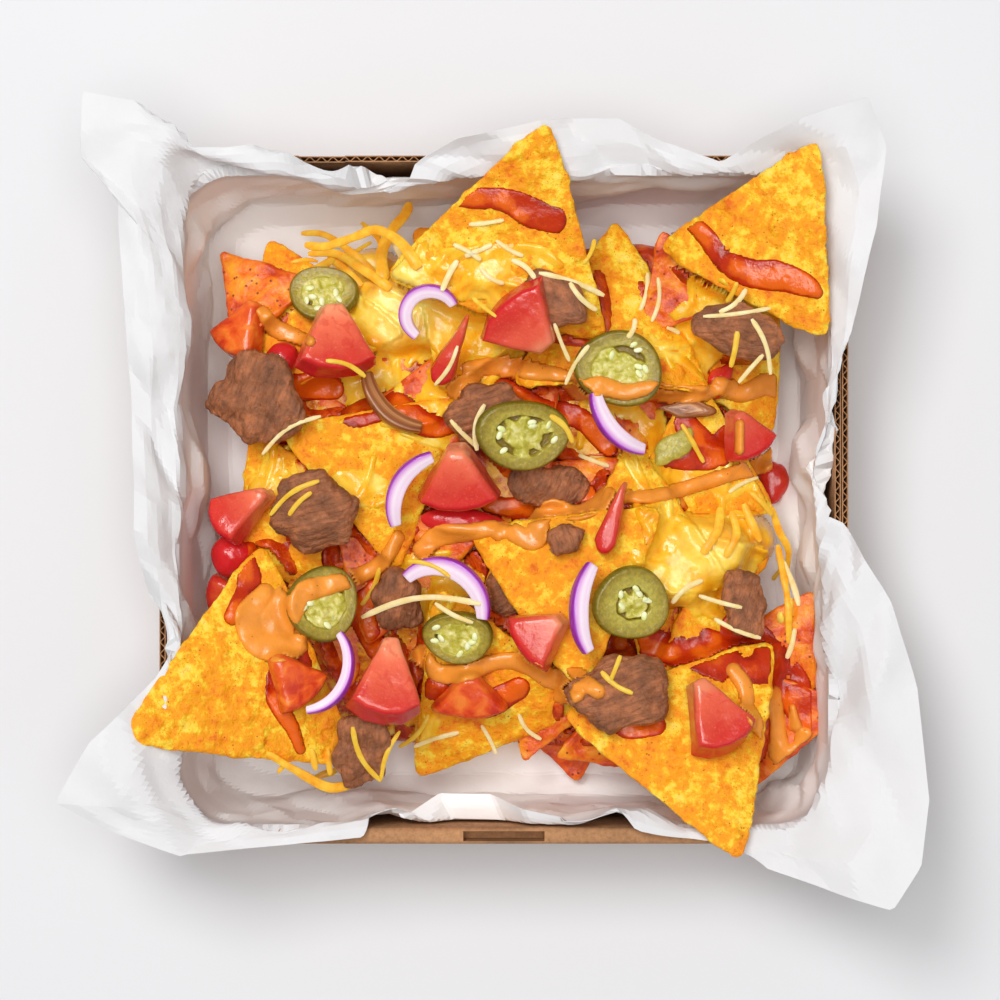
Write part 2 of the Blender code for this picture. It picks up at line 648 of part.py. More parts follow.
def resting_slope(field, low, x, y):
    """The slope at which a piece comes to lie lowest, its underside sheared by each slope in turn."""
    room = spread(low, np.min) - spread(field, np.max)
    covered = np.isfinite(room)
    room = room[covered]
    cells = np.argwhere(covered) * CELL - FIELD_HALF - np.array((x, y))
    best = (0.0, 0.0)
    for step in SLOPE_STEPS:
        tries = [
            (best[0] + i * step, best[1] + j * step)
            for i in (-2, -1, 0, 1, 2) for j in (-2, -1, 0, 1, 2)
        ]
        tries = [slope for slope in tries if math.hypot(*slope) <= STEEPEST_REST]
        best = max(tries, key=lambda slope: (room + cells @ np.array(slope)).min())
    return best


def set_down(thing, x, y, turn, slope, field):
    """Turns the thing, lays it on the field with its slope, and raises the field by it."""
    turned = Matrix.Translation((x, y, 0)) @ Matrix.Rotation(math.radians(turn), 4, "Z")
    if slope is None:
        low, _ = scan(thing, turned)
        slope = resting_slope(field, low, x, y)
    normal = Vector((-slope[0], -slope[1], 1)).normalized()
    tilt = Vector((0, 0, 1)).rotation_difference(normal).to_matrix().to_4x4()
    placed = Matrix.Translation((x, y, 0)) @ tilt @ Matrix.Rotation(math.radians(turn), 4, "Z")
    low, high = scan(thing, placed)
    room = spread(low, np.min) - spread(field, np.max)
    drop = room[np.isfinite(room)].min() - CLEARANCE
    thing.matrix_world = Matrix.Translation((0, 0, -drop)) @ placed
    np.maximum(field, high - drop, out=field)


def make_piece(name, parts):
    """The named piece, its place in metres, its turn in degrees and its stated slope."""
    makers = ((CHIPS, make_chip), (STEAK, make_steak), (TOMATOES, make_tomato), (PEPPERS, make_pepper),
              (ARCS, make_arc))
    table, maker = next((rows, make) for rows, make in makers if name in rows)
    row = table[name]
    thing, turn = maker(name, parts)
    slope = row[-1] if table in (CHIPS, STEAK) else None
    return thing, row[0] * MM, row[1] * MM, turn, slope


def main():
    clear_scene()
    random.seed(11)
    noise.seed_set(11)
    parts = new_collection("nachos")
    cutters = new_collection("cutters")
    field = np.zeros((FIELD_CELLS, FIELD_CELLS))
    for thing in (make_tray(parts, cutters), make_paper(parts), make_heap(parts)):
        _, high = scan(thing, Matrix.Identity(4))
        np.maximum(field, high, out=field)
    for name in ORDER:
        thing, x, y, turn, slope = make_piece(name, parts)
        set_down(thing, x, y, turn, slope, field)


main()
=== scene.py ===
import math
import random
from contextlib import contextmanager

import bmesh
import bpy
import numpy as np
from mathutils import Matrix, Vector
from mathutils.bvhtree import BVHTree


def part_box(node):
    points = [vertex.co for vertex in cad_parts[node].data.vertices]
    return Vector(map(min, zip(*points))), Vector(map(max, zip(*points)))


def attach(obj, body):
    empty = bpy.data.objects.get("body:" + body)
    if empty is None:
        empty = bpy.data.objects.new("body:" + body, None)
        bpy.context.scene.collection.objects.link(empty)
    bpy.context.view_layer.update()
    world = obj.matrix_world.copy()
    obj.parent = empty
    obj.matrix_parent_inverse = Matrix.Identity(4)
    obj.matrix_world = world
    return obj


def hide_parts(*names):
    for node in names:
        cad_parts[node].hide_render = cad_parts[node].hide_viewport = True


bl_info = {
    "name": "Loaded nachos",
    "version": (1, 0, 0),
    "blender": (4, 5, 0),
    "location": "3D View > Sidebar > Nachos",
    "description": "Makes loaded nachos in a paper-lined cardboard tray, piece by piece",
    "category": "Object",
}

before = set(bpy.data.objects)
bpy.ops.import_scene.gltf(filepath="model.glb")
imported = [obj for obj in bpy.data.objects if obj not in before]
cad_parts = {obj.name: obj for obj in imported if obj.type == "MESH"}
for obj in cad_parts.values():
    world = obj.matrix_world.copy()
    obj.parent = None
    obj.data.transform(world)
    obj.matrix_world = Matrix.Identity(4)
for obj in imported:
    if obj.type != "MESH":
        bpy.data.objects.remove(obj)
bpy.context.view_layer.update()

MM = 0.001
BODY = "root"

CAMERA_HEIGHT = 0.72
CAMERA_ASIDE = -1 * MM
CAMERA_ANGLE = 21.7
CAMERA_SENSOR = 36
CAMERA_NEAR = 0.01
FLOOR_SIZE = 12
WORLD_LIGHT = 0.28
# Each lamp: place, size and power.
LAMPS = (((-0.36, 0.46, 1.2), 0.45, 7.5), ((-0.05, 0.05, 1.5), 0.9, 11.2), ((0.9, -0.5, 1.1), 1.2, 1.5))
# How close a merged CAD copy's points lie, and the voxels that steak and tomatoes are remeshed in.
WELD = 0.02 * MM
FOOD_VOXEL = 0.5 * MM
# The finished chips with what they lie on, and the finished pieces on top of them.
CHIPS = []
TOPPINGS = []
# The heights that the melted and poured layers lie on.
GROUNDS = []
# The materials made so far, by name.
FINISHES = {}


def srgb(red, green, blue):
    """A colour from 0 to 255 a channel, as Blender's linear colour."""
    return tuple(
        part / 12.92 if part <= 0.04045 else ((part + 0.055) / 1.055) ** 2.4
        for part in (red / 255, green / 255, blue / 255)
    )


# ---------------------------------------------------------------- what a user may change


def length(name, description, default):
    return bpy.props.FloatProperty(
        name=name, description=description, default=default, unit="LENGTH", min=0, precision=4
    )


def colour(name, description, default):
    return bpy.props.FloatVectorProperty(
        name=name, description=description, default=srgb(*default), subtype="COLOR", size=3, min=0, max=1
    )


class NachoSizes(bpy.types.PropertyGroup):
    """Sizes of the pieces' detail, in metres"""

    blister: length("Blister height", "How far blisters stand up on a chip", 0.55 * MM)
    steak_grain: length("Steak grain", "Depth of the fibres in the steak", 0.45 * MM)
    shred_width: length("Shred width", "Width of a shred of cheese", 1.3 * MM)
    cream_height: length("Cream sauce height", "How high the cream sauce lines stand", 1.9 * MM)
    crease: length("Paper crease", "Height of the paper's creases", 1.9 * MM)
    paper: length("Paper thickness", "Thickness of the liner paper", 0.2 * MM)
    board: length("Board thickness", "Thickness of one corrugated board", 1.6 * MM)
    flute: length("Flute pitch", "Distance between two flutes of the board", 3.0 * MM)


class NachoColours(bpy.types.PropertyGroup):
    """Main colours of the pieces"""

    chip: colour("Chip", "Plain part of a corn chip", (248, 164, 6))
    seasoning: colour("Seasoning", "Orange seasoning on a chip", (226, 98, 12))
    steak: colour("Steak", "Seared steak", (152, 92, 56))
    tomato: colour("Tomato flesh", "Cut tomato", (214, 68, 50))
    tomato_skin: colour("Tomato skin", "Skin of the tomato", (206, 28, 36))
    pepper: colour("Pepper", "Wall of a pickled pepper slice", (150, 128, 36))
    onion_skin: colour("Onion skin", "Outer side of a red onion ring", (150, 40, 170))
    cheese: colour("Melted cheese", "Melted yellow cheese", (252, 182, 30))
    sauce: colour("Red sauce", "Red sauce between the chips", (190, 52, 8))
    cream: colour("Cream sauce", "Spiced cream sauce piped over the top", (238, 150, 52))
    paper: colour("Paper", "Liner paper", (226, 225, 226))
    board: colour("Board", "Brown corrugated board", (178, 130, 90))


# ---------------------------------------------------------------- small tools


def settings():
    return bpy.context.scene.nacho_sizes


def colours():
    return bpy.context.scene.nacho_colours


def deselect():
    bpy.ops.object.select_all(action="DESELECT")


def make_active(thing):
    deselect()
    thing.select_set(True)
    bpy.context.view_layer.objects.active = thing


def add_object(name, mesh):
    thing = bpy.data.objects.new(name, mesh)
    bpy.context.scene.collection.objects.link(thing)
    make_active(thing)
    return thing


def named(name):
    """Gives the new primitive its name and hands it over."""
    thing = bpy.context.object
    thing.name = name
    thing.data.name = name
    return thing


@contextmanager
def editing(action="SELECT"):
    """Edit mode for the lines inside, with everything selected or deselected first."""
    bpy.ops.object.mode_set(mode="EDIT")
    bpy.ops.mesh.select_all(action=action)
    yield
    bpy.ops.object.mode_set(mode="OBJECT")


def apply_modifier(thing, kind, **values):
    make_active(thing)
    modifier = thing.modifiers.new(kind.lower(), kind)
    for key, value in values.items():
        setattr(modifier, key, value)
    bpy.ops.object.modifier_apply(modifier=modifier.name)


def subdivide(thing, levels):
    apply_modifier(thing, "SUBSURF", levels=levels, render_levels=levels)


def join(things, name):
    deselect()
    for thing in things:
        thing.select_set(True)
    bpy.context.view_layer.objects.active = things[0]
    bpy.ops.object.join()
    return named(name)


def finish_piece(thing, finish, slot, *nodes, smooth=40):
    """Gives a piece its material and body, and hides the nodes that it stands for. Its slot is not used."""
    make_active(thing)
    if finish is not None:
        thing.data.materials.clear()
        thing.data.materials.append(finish)
    bpy.ops.object.shade_smooth_by_angle(angle=math.radians(smooth))
    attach(thing, BODY)
    if nodes:
        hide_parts(*nodes)
    return thing


def copy_of(node, name):
    """A copy of a CAD node, its triangles joined at their corners."""
    thing = add_object(name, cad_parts[node].data.copy())
    thing.data.name = name
    with editing():
        bpy.ops.mesh.remove_doubles(threshold=WELD)
    for layer in list(thing.data.attributes):
        if layer.name == "custom_normal":
            thing.data.attributes.remove(layer)
    return thing


def points_of(mesh):
    flat = np.empty(len(mesh.vertices) * 3)
    mesh.vertices.foreach_get("co", flat)
    return flat.reshape(-1, 3)


def set_points(mesh, points):
    mesh.vertices.foreach_set("co", points.astype(np.float32).ravel())
    mesh.update()


def normals_of(mesh):
    flat = np.empty(len(mesh.vertices) * 3, np.float32)
    mesh.vertex_normals.foreach_get("vector", flat)
    return flat.reshape(-1, 3).astype(float)


def store(mesh, **marks):
    """Keeps numbers for the material to read: each mark is one number, or one a vertex."""
    for name, values in marks.items():
        flat = np.empty(len(mesh.vertices), np.float32)
        flat[:] = values
        mesh.attributes.new(name, "FLOAT", "POINT").data.foreach_set("value", flat)


def lay_uv(mesh, flat):
    """Lays a flat pattern on the mesh: one pair of coordinates a vertex, one unit to 10 mm."""
    layer = mesh.uv_layers.new(name="pattern")
    corners = np.empty(len(mesh.loops), np.int64)
    mesh.loops.foreach_get("vertex_index", corners)
    layer.data.foreach_set("uv", (flat[corners] / (10 * MM)).astype(np.float32).ravel())


def smooth_step(values, low, high):
    t = np.clip((values - low) / (high - low), 0, 1)
    return t * t * (3 - 2 * t)


def turned_flat(x, y, degrees):
    """How far along a bearing and how far across it the places are."""
    angle = math.radians(degrees)
    cos, sin = math.cos(angle), math.sin(angle)
    return x * cos + y * sin, y * cos - x * sin


def cornered(around, corners, shift):
    """From -0.5 in the hollows of an outline to 0.5 at its corners, by the bearing around it."""
    return np.abs((around * corners / (2 * math.pi) + shift) % 1 - 0.5) * 2 - 0.5


def lattice(cells, seed):
    """A steady random number from 0 to 1 for each whole-numbered cell."""
    x, y, z = (cells[..., k].astype(np.int64) for k in range(3))
    mixed = (x * 73856093) ^ (y * 19349663) ^ (z * 83492791) ^ (seed * 40503)
    mixed = (mixed ^ (mixed >> 13)) * 1274126177
    mixed = mixed ^ (mixed >> 16)
    return (mixed & 0xFFFF) / 65535.0


def wave(points, size, seed=0):
    """Smooth random relief from -1 to 1, its lumps about size across."""
    scaled = points / size
    base = np.floor(scaled)
    t = scaled - base
    t = t * t * (3 - 2 * t)
    total = 0
    for dx in (0, 1):
        for dy in (0, 1):
            for dz in (0, 1):
                weight = (
                    (t[..., 0] if dx else 1 - t[..., 0])
                    * (t[..., 1] if dy else 1 - t[..., 1])
                    * (t[..., 2] if dz else 1 - t[..., 2])
                )
                total = total + weight * lattice(base + (dx, dy, dz), seed)
    return total * 2 - 1


def clumps(points, size, seed=0):
    """Rounded clumps about size across: 0 along the seams between them, up to 1 inside."""
    scaled = points / size
    base = np.floor(scaled)
    nearest = np.full(points.shape[:-1], 9.0)
    second = nearest.copy()
    for step in np.ndindex(3, 3, 3):
        cell = base + np.array(step) - 1
        middle = cell + np.stack([lattice(cell, seed + axis) for axis in range(3)], -1)
        away = np.linalg.norm(middle - scaled, axis=-1)
        second = np.minimum(second, np.maximum(nearest, away))
        nearest = np.minimum(nearest, away)
    return np.sqrt(np.clip((second - nearest) * 1.8, 0, 1))


def swell(thing, layers, seed):
    """Moves the surface in and out: each layer is a lump size and a height."""
    points = points_of(thing.data)
    normals = normals_of(thing.data)
    lift = sum(
        wave(points, size, seed * 11 + order) * height for order, (size, height) in enumerate(layers)
    )
    set_points(thing.data, points + normals * lift[:, None])


def long_plane(node):
    """The middle of a flat CAD node and the upward normal of its plane."""
    points = points_of(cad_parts[node].data)
    points = np.unique(np.round(points, 6), axis=0)
    middle = (points.min(0) + points.max(0)) / 2
    centred = points - points.mean(0)
    normal = np.linalg.svd(centred, full_matrices=False)[2][2]
    if normal[2] < 0:
        normal = -normal
    return Vector(middle), Vector(normal)


def seat(node, bearing, x=None, y=None):
    """The place of a flat piece: its plane from the CAD node, its X axis towards the bearing.

    The middle is the node's own, unless x and y say where on the plane it lies.
    """
    middle, normal = long_plane(node)
    if x is not None:
        drop = (normal.x * (x - middle.x) + normal.y * (y - middle.y)) / normal.z
        middle = Vector((x, y, middle.z - drop))
    towards = Vector((math.cos(math.radians(bearing)), math.sin(math.radians(bearing)), 0))
    x_axis = (towards - normal * towards.dot(normal)).normalized()
    y_axis = normal.cross(x_axis)
    place = Matrix((x_axis, y_axis, normal)).transposed().to_4x4()
    place.translation = middle
    return place


# ---------------------------------------------------------------- materials


class Finish:
    """A material that is put together node by node on Object coordinates."""

    def __init__(self, name, roughness, specular=0.5):
        self.name = name
        self.material = bpy.data.materials.new(name)
        self.material.use_nodes = True
        self.tree = self.material.node_tree
        self.shader = next(node for node in self.tree.nodes if node.type == "BSDF_PRINCIPLED")
        self.shader.inputs["Roughness"].default_value = roughness
        self.shader.inputs["Specular IOR Level"].default_value = specular
        coordinates = self.tree.nodes.new("ShaderNodeTexCoord")
        self.place = coordinates.outputs["Object"]
        self.pattern = coordinates.outputs["UV"]

    def put(self, socket, value):
        if isinstance(value, bpy.types.NodeSocket):
            self.tree.links.new(value, socket)
        elif isinstance(value, (tuple, list)) and len(value) == 3 and socket.type == "RGBA":
            socket.default_value = (*value, 1)
        else:
            socket.default_value = value

    def node(self, kind, inputs, **values):
        made = self.tree.nodes.new(kind)
        for key, value in values.items():
            setattr(made, key, value)
        for key, value in inputs.items():
            self.put(made.inputs[key], value)
        return made

    def stretched(self, stretch, source=None):
        inputs = {"Vector": source or self.place, "Scale": stretch}
        return self.node("ShaderNodeMapping", inputs).outputs["Vector"]

    def noise(self, size, detail=4.0, rough=0.55, twist=0.0, source=None):
        """Cloudy noise whose clouds are about size metres across."""
        inputs = {
            "Vector": source or self.place, "Scale": 1 / size, "Detail": detail,
            "Roughness": rough, "Distortion": twist,
        }
        return self.node("ShaderNodeTexNoise", inputs).outputs["Fac"]

    def cells(self, size):
        """How far each place is from the middle of its cell."""
        inputs = {"Vector": self.place, "Scale": 1 / size}
        return self.node("ShaderNodeTexVoronoi", inputs).outputs["Distance"]

    def ramp(self, value, *stops):
        """Colour or grey by value; each stop is a place and a colour or grey."""
        made = self.node("ShaderNodeValToRGB", {"Fac": value})
        elements = made.color_ramp.elements
        while len(elements) < len(stops):
            elements.new(0.5)
        for element, (place, tone) in zip(elements, stops):
            element.position = place
            element.color = (tone, tone, tone, 1) if isinstance(tone, (int, float)) else (*tone, 1)
        return made.outputs["Color"]

    def mix(self, factor, first, second, blend="MIX"):
        made = self.node("ShaderNodeMix", {}, data_type="RGBA", blend_type=blend)
        self.put(made.inputs[0], factor)
        self.put(made.inputs[6], first)
        self.put(made.inputs[7], second)
        return made.outputs[2]

    def math(self, operation, first, second):
        made = self.node("ShaderNodeMath", {}, operation=operation)
        self.put(made.inputs[0], first)
        self.put(made.inputs[1], second)
        return made.outputs[0]

    def plus(self, first, second, share=1.0):
        """The first value and a share of the second."""
        part = second if share == 1.0 else self.math("MULTIPLY", second, share)
        return self.math("ADD", first, part)

    def dark(self, base, factor):
        """The base made darker or lighter by a grey."""
        return self.mix(1.0, base, factor, "MULTIPLY")

    def attribute(self, name):
        return self.node("ShaderNodeAttribute", {}, attribute_name=name).outputs["Fac"]

    def bump(self, height, distance, below=None):
        inputs = {"Height": height, "Distance": distance, "Strength": 1.0}
        if below is not None:
            inputs["Normal"] = below
        return self.node("ShaderNodeBump", inputs).outputs["Normal"]

    def done(self, colour_socket, normal=None, roughness=None):
        self.put(self.shader.inputs["Base Color"], colour_socket)
        if normal is not None:
            self.put(self.shader.inputs["Normal"], normal)
        if roughness is not None:
            self.put(self.shader.inputs["Roughness"], roughness)
        FINISHES[self.name] = self.material
        return self.material


def soft_inside(finish, radius, weight):
    """Lets light travel a little way inside moist food."""
    finish.shader.inputs["Subsurface Weight"].default_value = weight
    finish.shader.inputs["Subsurface Radius"].default_value = radius
    finish.shader.inputs["Subsurface Scale"].default_value = 1 * MM


def tint(tone, factor):
    return tuple(min(1.0, part * factor) for part in tone)


def chip_finish():
    finish = Finish("corn_chip", 0.48, specular=0.35)
    plain = tuple(colours().chip)
    seasoning = tuple(colours().seasoning)
    wide = finish.math("MULTIPLY", finish.noise(10 * MM, 3, 0.5), 0.4)
    clouds = finish.plus(wide, finish.noise(3.0 * MM, 6, 0.68), 0.6)
    base = finish.ramp(
        clouds, (0.36, srgb(232, 110, 8)), (0.44, srgb(250, 156, 12)), (0.5, plain),
        (0.57, srgb(255, 212, 50)), (0.68, srgb(255, 226, 110)),
    )
    dusted = finish.ramp(finish.noise(2.2 * MM, 7, 0.74, 0.4), (0.55, 0.0), (0.7, 0.65))
    base = finish.mix(dusted, base, seasoning)
    for size, reach, tone in ((1.7 * MM, 0.16, srgb(158, 50, 8)), (0.9 * MM, 0.2, srgb(190, 74, 10))):
        specks = finish.ramp(finish.cells(size), (reach * 0.55, 1.0), (reach, 0.0))
        some = finish.ramp(finish.noise(size * 3.4, 2), (0.5, 0.0), (0.6, 0.85))
        base = finish.mix(finish.math("MULTIPLY", specks, some), base, tone)
    relief = finish.plus(finish.noise(2.4 * MM, 6, 0.62), finish.noise(0.9 * MM, 4, 0.7), 0.4)
    return finish.done(base, finish.bump(relief, 0.9 * MM))


def paper_finish():
    finish = Finish("liner_paper", 0.72, specular=0.3)
    tone = tuple(colours().paper)
    clouds = finish.noise(26 * MM, 3)
    base = finish.ramp(clouds, (0.3, tint(tone, 0.95)), (0.7, tone))
    # Painted light: the paper low in the tray, below the rim, is made lighter to stand in for the light
    # that reaches it there.
    base = finish.mix(finish.attribute("sheltered"), base, srgb(251, 249, 247))
    fibres = finish.noise(0.5 * MM, 4, 0.7)
    normal = finish.bump(finish.noise(9 * MM, 3, 0.5), 0.35 * MM)
    soft_inside(finish, (1, 1, 1), 0.12)
    return finish.done(base, finish.bump(fibres, 0.03 * MM, normal))


def board_finish():
    finish = Finish("brown_board", 0.82, specular=0.25)
    tone = tuple(colours().board)
    fibres = finish.noise(1.2 * MM, 6, 0.7, source=finish.stretched((1, 1, 0.35)))
    base = finish.ramp(fibres, (0.3, tint(tone, 0.72)), (0.5, tone), (0.72, tint(tone, 1.22)))
    blotches = finish.ramp(finish.noise(14 * MM, 4), (0.35, 0.82), (0.65, 1.1))
    base = finish.dark(base, blotches)
    return finish.done(base, finish.bump(finish.noise(0.5 * MM, 4, 0.7), 0.08 * MM))


# ---------------------------------------------------------------- tray

# One face of a corrugated board, the wavy sheet between two, and how many steps make a flute.
BOARD_FACE = 0.24 * MM
WAVY_SHEET = 0.2 * MM
FLUTE_STEPS = 10
# The walls start this share of a board's thickness up, so that they stand in the floor.
WALL_FOOT = 0.9
DOUBLE_WALL_GAP = 0.25 * MM
INNER_WALL_DROP = 0.5 * MM
INNER_WALL_STOP = 4 * MM
FRONT_WALL = 4.2 * MM
FRONT_FOLD = 1.5 * MM
# The small notch in the back wall and the slot in the front one: half length, depth and place.
NOTCH = (6 * MM, 1.5 * MM)
NOTCH_X = -47 * MM
SLOT = (10.5 * MM, 7 * MM)
SLOT_SIDES = (0.8 * MM, 3.4 * MM)
CUT_BEYOND = 5 * MM


def block(name, low, high, bevel=0.0):
    """A box between two corners, its edges rounded."""
    deselect()
    middle = [(a + b) / 2 for a, b in zip(low, high)]
    bpy.ops.mesh.primitive_cube_add(size=1, location=middle, scale=[b - a for a, b in zip(low, high)])
    thing = named(name)
    bpy.ops.object.transform_apply(location=True, rotation=True, scale=True)
    if bevel:
        with editing():
            bpy.ops.mesh.bevel(offset=bevel, segments=2, affect="EDGES")
    return thing


def fluted_board(name, reach, thickness, low, high, middle, along_x, notch=()):
    """A standing board: two faces and the wavy sheet between them, open at the top, and maybe notched."""
    half = thickness / 2
    sheets = []
    for side in (-1, 1):
        inner = half - BOARD_FACE
        across = sorted((side * inner, side * half))
        if along_x:
            corners = ((-reach, middle + across[0], low), (reach, middle + across[1], high))
        else:
            corners = ((middle + across[0], -reach, low), (middle + across[1], reach, high))
        sheets.append(block(name + "_liner", *corners))
    steps = int(2 * reach / settings().flute) * FLUTE_STEPS
    deselect()
    bpy.ops.mesh.primitive_grid_add(x_subdivisions=steps, y_subdivisions=1, size=1)
    core = named(name + "_core")
    points = points_of(core.data)
    along = points[:, 0] * 2 * (reach - 0.2 * MM)
    swing = np.sin(along / settings().flute * 2 * math.pi) * (half - 1.15 * BOARD_FACE)
    height = low + (points[:, 1] + 0.5) * (high - low - 0.25 * MM)
    place = (along, middle + swing, height) if along_x else (middle + swing, along, height)
    set_points(core.data, np.stack(place, 1))
    apply_modifier(core, "SOLIDIFY", thickness=WAVY_SHEET, offset=0)
    if notch:
        for sheet in (*sheets, core):
            cut_box(sheet, *notch)
    return join([*sheets, core], name)


def cut_box(thing, low, high):
    cutter = block("cutter", low, high)
    apply_modifier(thing, "BOOLEAN", object=cutter, operation="DIFFERENCE", solver="EXACT")
    bpy.data.objects.remove(cutter)


def make_tray():
    low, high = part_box("tray")
    half = high.x
    top = high.z
    board = settings().board
    foot = board * WALL_FOOT
    floor = block("tray_floor", (low.x, low.y, 0), (high.x, high.y, board), 0.3 * MM)
    notch = (
        (NOTCH_X - NOTCH[0], half - CUT_BEYOND, top - NOTCH[1]),
        (NOTCH_X + NOTCH[0], half + CUT_BEYOND, top + CUT_BEYOND),
    )
    back = fluted_board("tray_back", half - board, board, foot, top, half - board / 2, True, notch)
    walls = [back, floor]
    for side, name in ((-1, "left"), (1, "right")):
        outer = half - board / 2
        inner = outer - board - DOUBLE_WALL_GAP
        for part, reach, rim, middle in (
            ("outer", half - 0.05 * MM, top, outer),
            ("inner", half - INNER_WALL_STOP, top - INNER_WALL_DROP, inner),
        ):
            walls.append(fluted_board(f"tray_{name}_{part}", reach, board, foot, rim, side * middle, False))
    front = block("tray_front", (-half + board, -half, foot), (half - board, -half + FRONT_WALL, top))
    with editing("DESELECT"):
        edit = bmesh.from_edit_mesh(front.data)
        for edge in edit.edges:
            first, second = (vert.co for vert in edge.verts)
            edge.select = min(first.z, second.z) > top - 1 * MM and abs(first.x - second.x) > 1 * MM
        bmesh.update_edit_mesh(front.data)
        bpy.ops.mesh.bevel(offset=FRONT_FOLD, segments=5, affect="EDGES")
    slot_low = (-SLOT[0], -half + SLOT_SIDES[0], top - SLOT[1])
    cut_box(front, slot_low, (SLOT[0], -half + SLOT_SIDES[1], top + CUT_BEYOND))
    walls.append(front)
    tray = join(walls, "card_tray")
    return finish_piece(tray, board_finish(), "board", "tray", smooth=30)


# ---------------------------------------------------------------- paper liner

# The paper's free edge: how far round the wall from the back left corner (one unit to a side,
# clockwise from above), then x, y and z in millimetres.
PAPER_EDGE = (
    (-0.16, -98, 76, 57), (-0.06, -107, 87, 61), (-0.01, -106, 103, 64), (0.04, -94, 101, 59),
    (0.10, -82, 90, 54), (0.20, -64, 89, 50), (0.27, -52, 85, 48), (0.34, -42, 79, 42),
    (0.40, -30, 81, 43), (0.45, -21, 88, 49), (0.50, -12, 93, 52), (0.60, 9, 97, 54), (0.70, 30, 97, 54),
    (0.78, 41, 92, 51), (0.86, 56, 87, 48), (0.91, 66, 93, 53), (0.96, 77, 98, 57),
    (1.02, 92, 102, 61), (1.09, 97, 90, 58), (1.17, 95, 70, 55), (1.32, 89, 42, 51),
    (1.44, 83, 20, 45), (1.52, 80, 10, 38), (1.58, 83, 1, 44), (1.65, 91, -12, 52),
    (1.74, 99, -26, 55), (1.84, 105, -48, 57), (1.92, 108, -76, 58), (1.97, 106, -93, 58),
    (2.02, 99, -104, 57), (2.08, 84, -100, 54), (2.13, 67, -94, 52), (2.20, 57, -88, 49),
    (2.30, 36, -86, 48), (2.40, 16, -82, 46), (2.46, 5, -80, 44), (2.50, -3, -77, 36),
    (2.58, -17, -77, 35), (2.64, -25, -82, 45), (2.72, -37, -87, 48), (2.84, -61, -89, 50),
    (2.92, -83, -91, 52), (2.97, -101, -84, 55), (3.01, -114, -77, 58), (3.07, -106, -62, 56),
    (3.15, -90, -46, 51), (3.22, -84, -36, 48), (3.30, -91, -26, 50), (3.42, -95, -8, 52),
    (3.58, -95, 25, 53), (3.72, -97, 52, 55),
)
PAPER_WALL = 83.7 * MM
PAPER_CORNER = 14 * MM
PAPER_FLOOR = 2.25 * MM
PAPER_CREST = 47.6 * MM
PAPER_RUN = 670 * MM
PAPER_COLUMNS = 500
PAPER_CORNER_BLEND = 0.12
PAPER_INSIDE_RIM = 0.4 * MM
PAPER_CREST_DROP = 1.2 * MM
PAPER_LIFT = 0.08
# From the middle of the floor up the wall: share of the way out, and height in millimetres.
PAPER_RISE = ((0.3, 2.25), (0.9, 2.25), (0.965, 7), (0.99, 22), (1.0, 38))
PAPER_RISE_TOP = 46
# The share of a strip that lies on the floor, the rows on it and the rows above.
PAPER_FLOOR_SHARE = 0.42
PAPER_ROWS = (12, 52)
# How far creases go inward and outward, in millimetres: against the wall, and beyond the rim.
CREASE_IN = 4.0
CREASE_OUT = (0.3, 3.0)
# Each fold family: bearing, spacing and height in millimetres.
PAPER_FOLDS = (
    (18, 52, 2.0), (72, 37, 1.4), (118, 44, 1.7), (151, 29, 1.1), (48, 22, 0.8), (97, 16, 0.5),
    (134, 11, 0.28),
)


def wall_point(station, half, corner):
    """A point on a rounded square, at a station measured from its back left corner clockwise."""
    side = math.floor(station)
    along = (station - side) * 2 - 1
    x = along * half
    y = half
    straight = half - corner
    if abs(x) > straight:
        turn = (abs(x) - straight) / corner * math.pi / 4
        x = math.copysign(straight + corner * math.sin(turn), x)
        y = straight + corner * math.cos(turn)
    turned = Matrix.Rotation(-side * math.pi / 2, 2) @ Vector((x, y))
    return turned.x, turned.y


def paper_edge(station):
    """The free edge's place at a station: straight runs between its named places,
    blunt where they meet."""
    keys = [(key[0] + 4 * lap, *key[1:]) for lap in (-1, 0, 1) for key in PAPER_EDGE]
    index = max(k for k in range(len(keys)) if keys[k][0] <= station)
    before, first, second, after = (Vector(key) for key in keys[index - 1:index + 3])
    t = (station - first[0]) / (second[0] - first[0])
    place = first.lerp(second, t)
    if t < PAPER_CORNER_BLEND:
        share = 0.5 - 0.5 * t / PAPER_CORNER_BLEND
        place = place.lerp(first.lerp(before, t * 0.5), share * 0.5)
    elif t > 1 - PAPER_CORNER_BLEND:
        share = 0.5 - 0.5 * (1 - t) / PAPER_CORNER_BLEND
        place = place.lerp(second.lerp(after, (1 - t) * 0.5), share * 0.5)
    return Vector(place[1:]) * MM


def clear_the_rim(place):
    """Keeps a low free edge inside the tray's wall."""
    limit = PAPER_WALL - PAPER_INSIDE_RIM
    if place.z < PAPER_CREST:
        place.x = max(-limit, min(limit, place.x))
        place.y = max(-limit, min(limit, place.y))
    return place


def along_line(keys, shares):
    """Places at equal shares of a broken line's length."""
    keys = np.array([tuple(key) for key in keys])
    steps = np.concatenate(([0], np.cumsum(np.linalg.norm(np.diff(keys, axis=0), axis=1))))
    wanted = np.asarray(shares) * steps[-1]
    return np.stack([np.interp(wanted, steps, keys[:, axis]) for axis in range(3)], 1), wanted


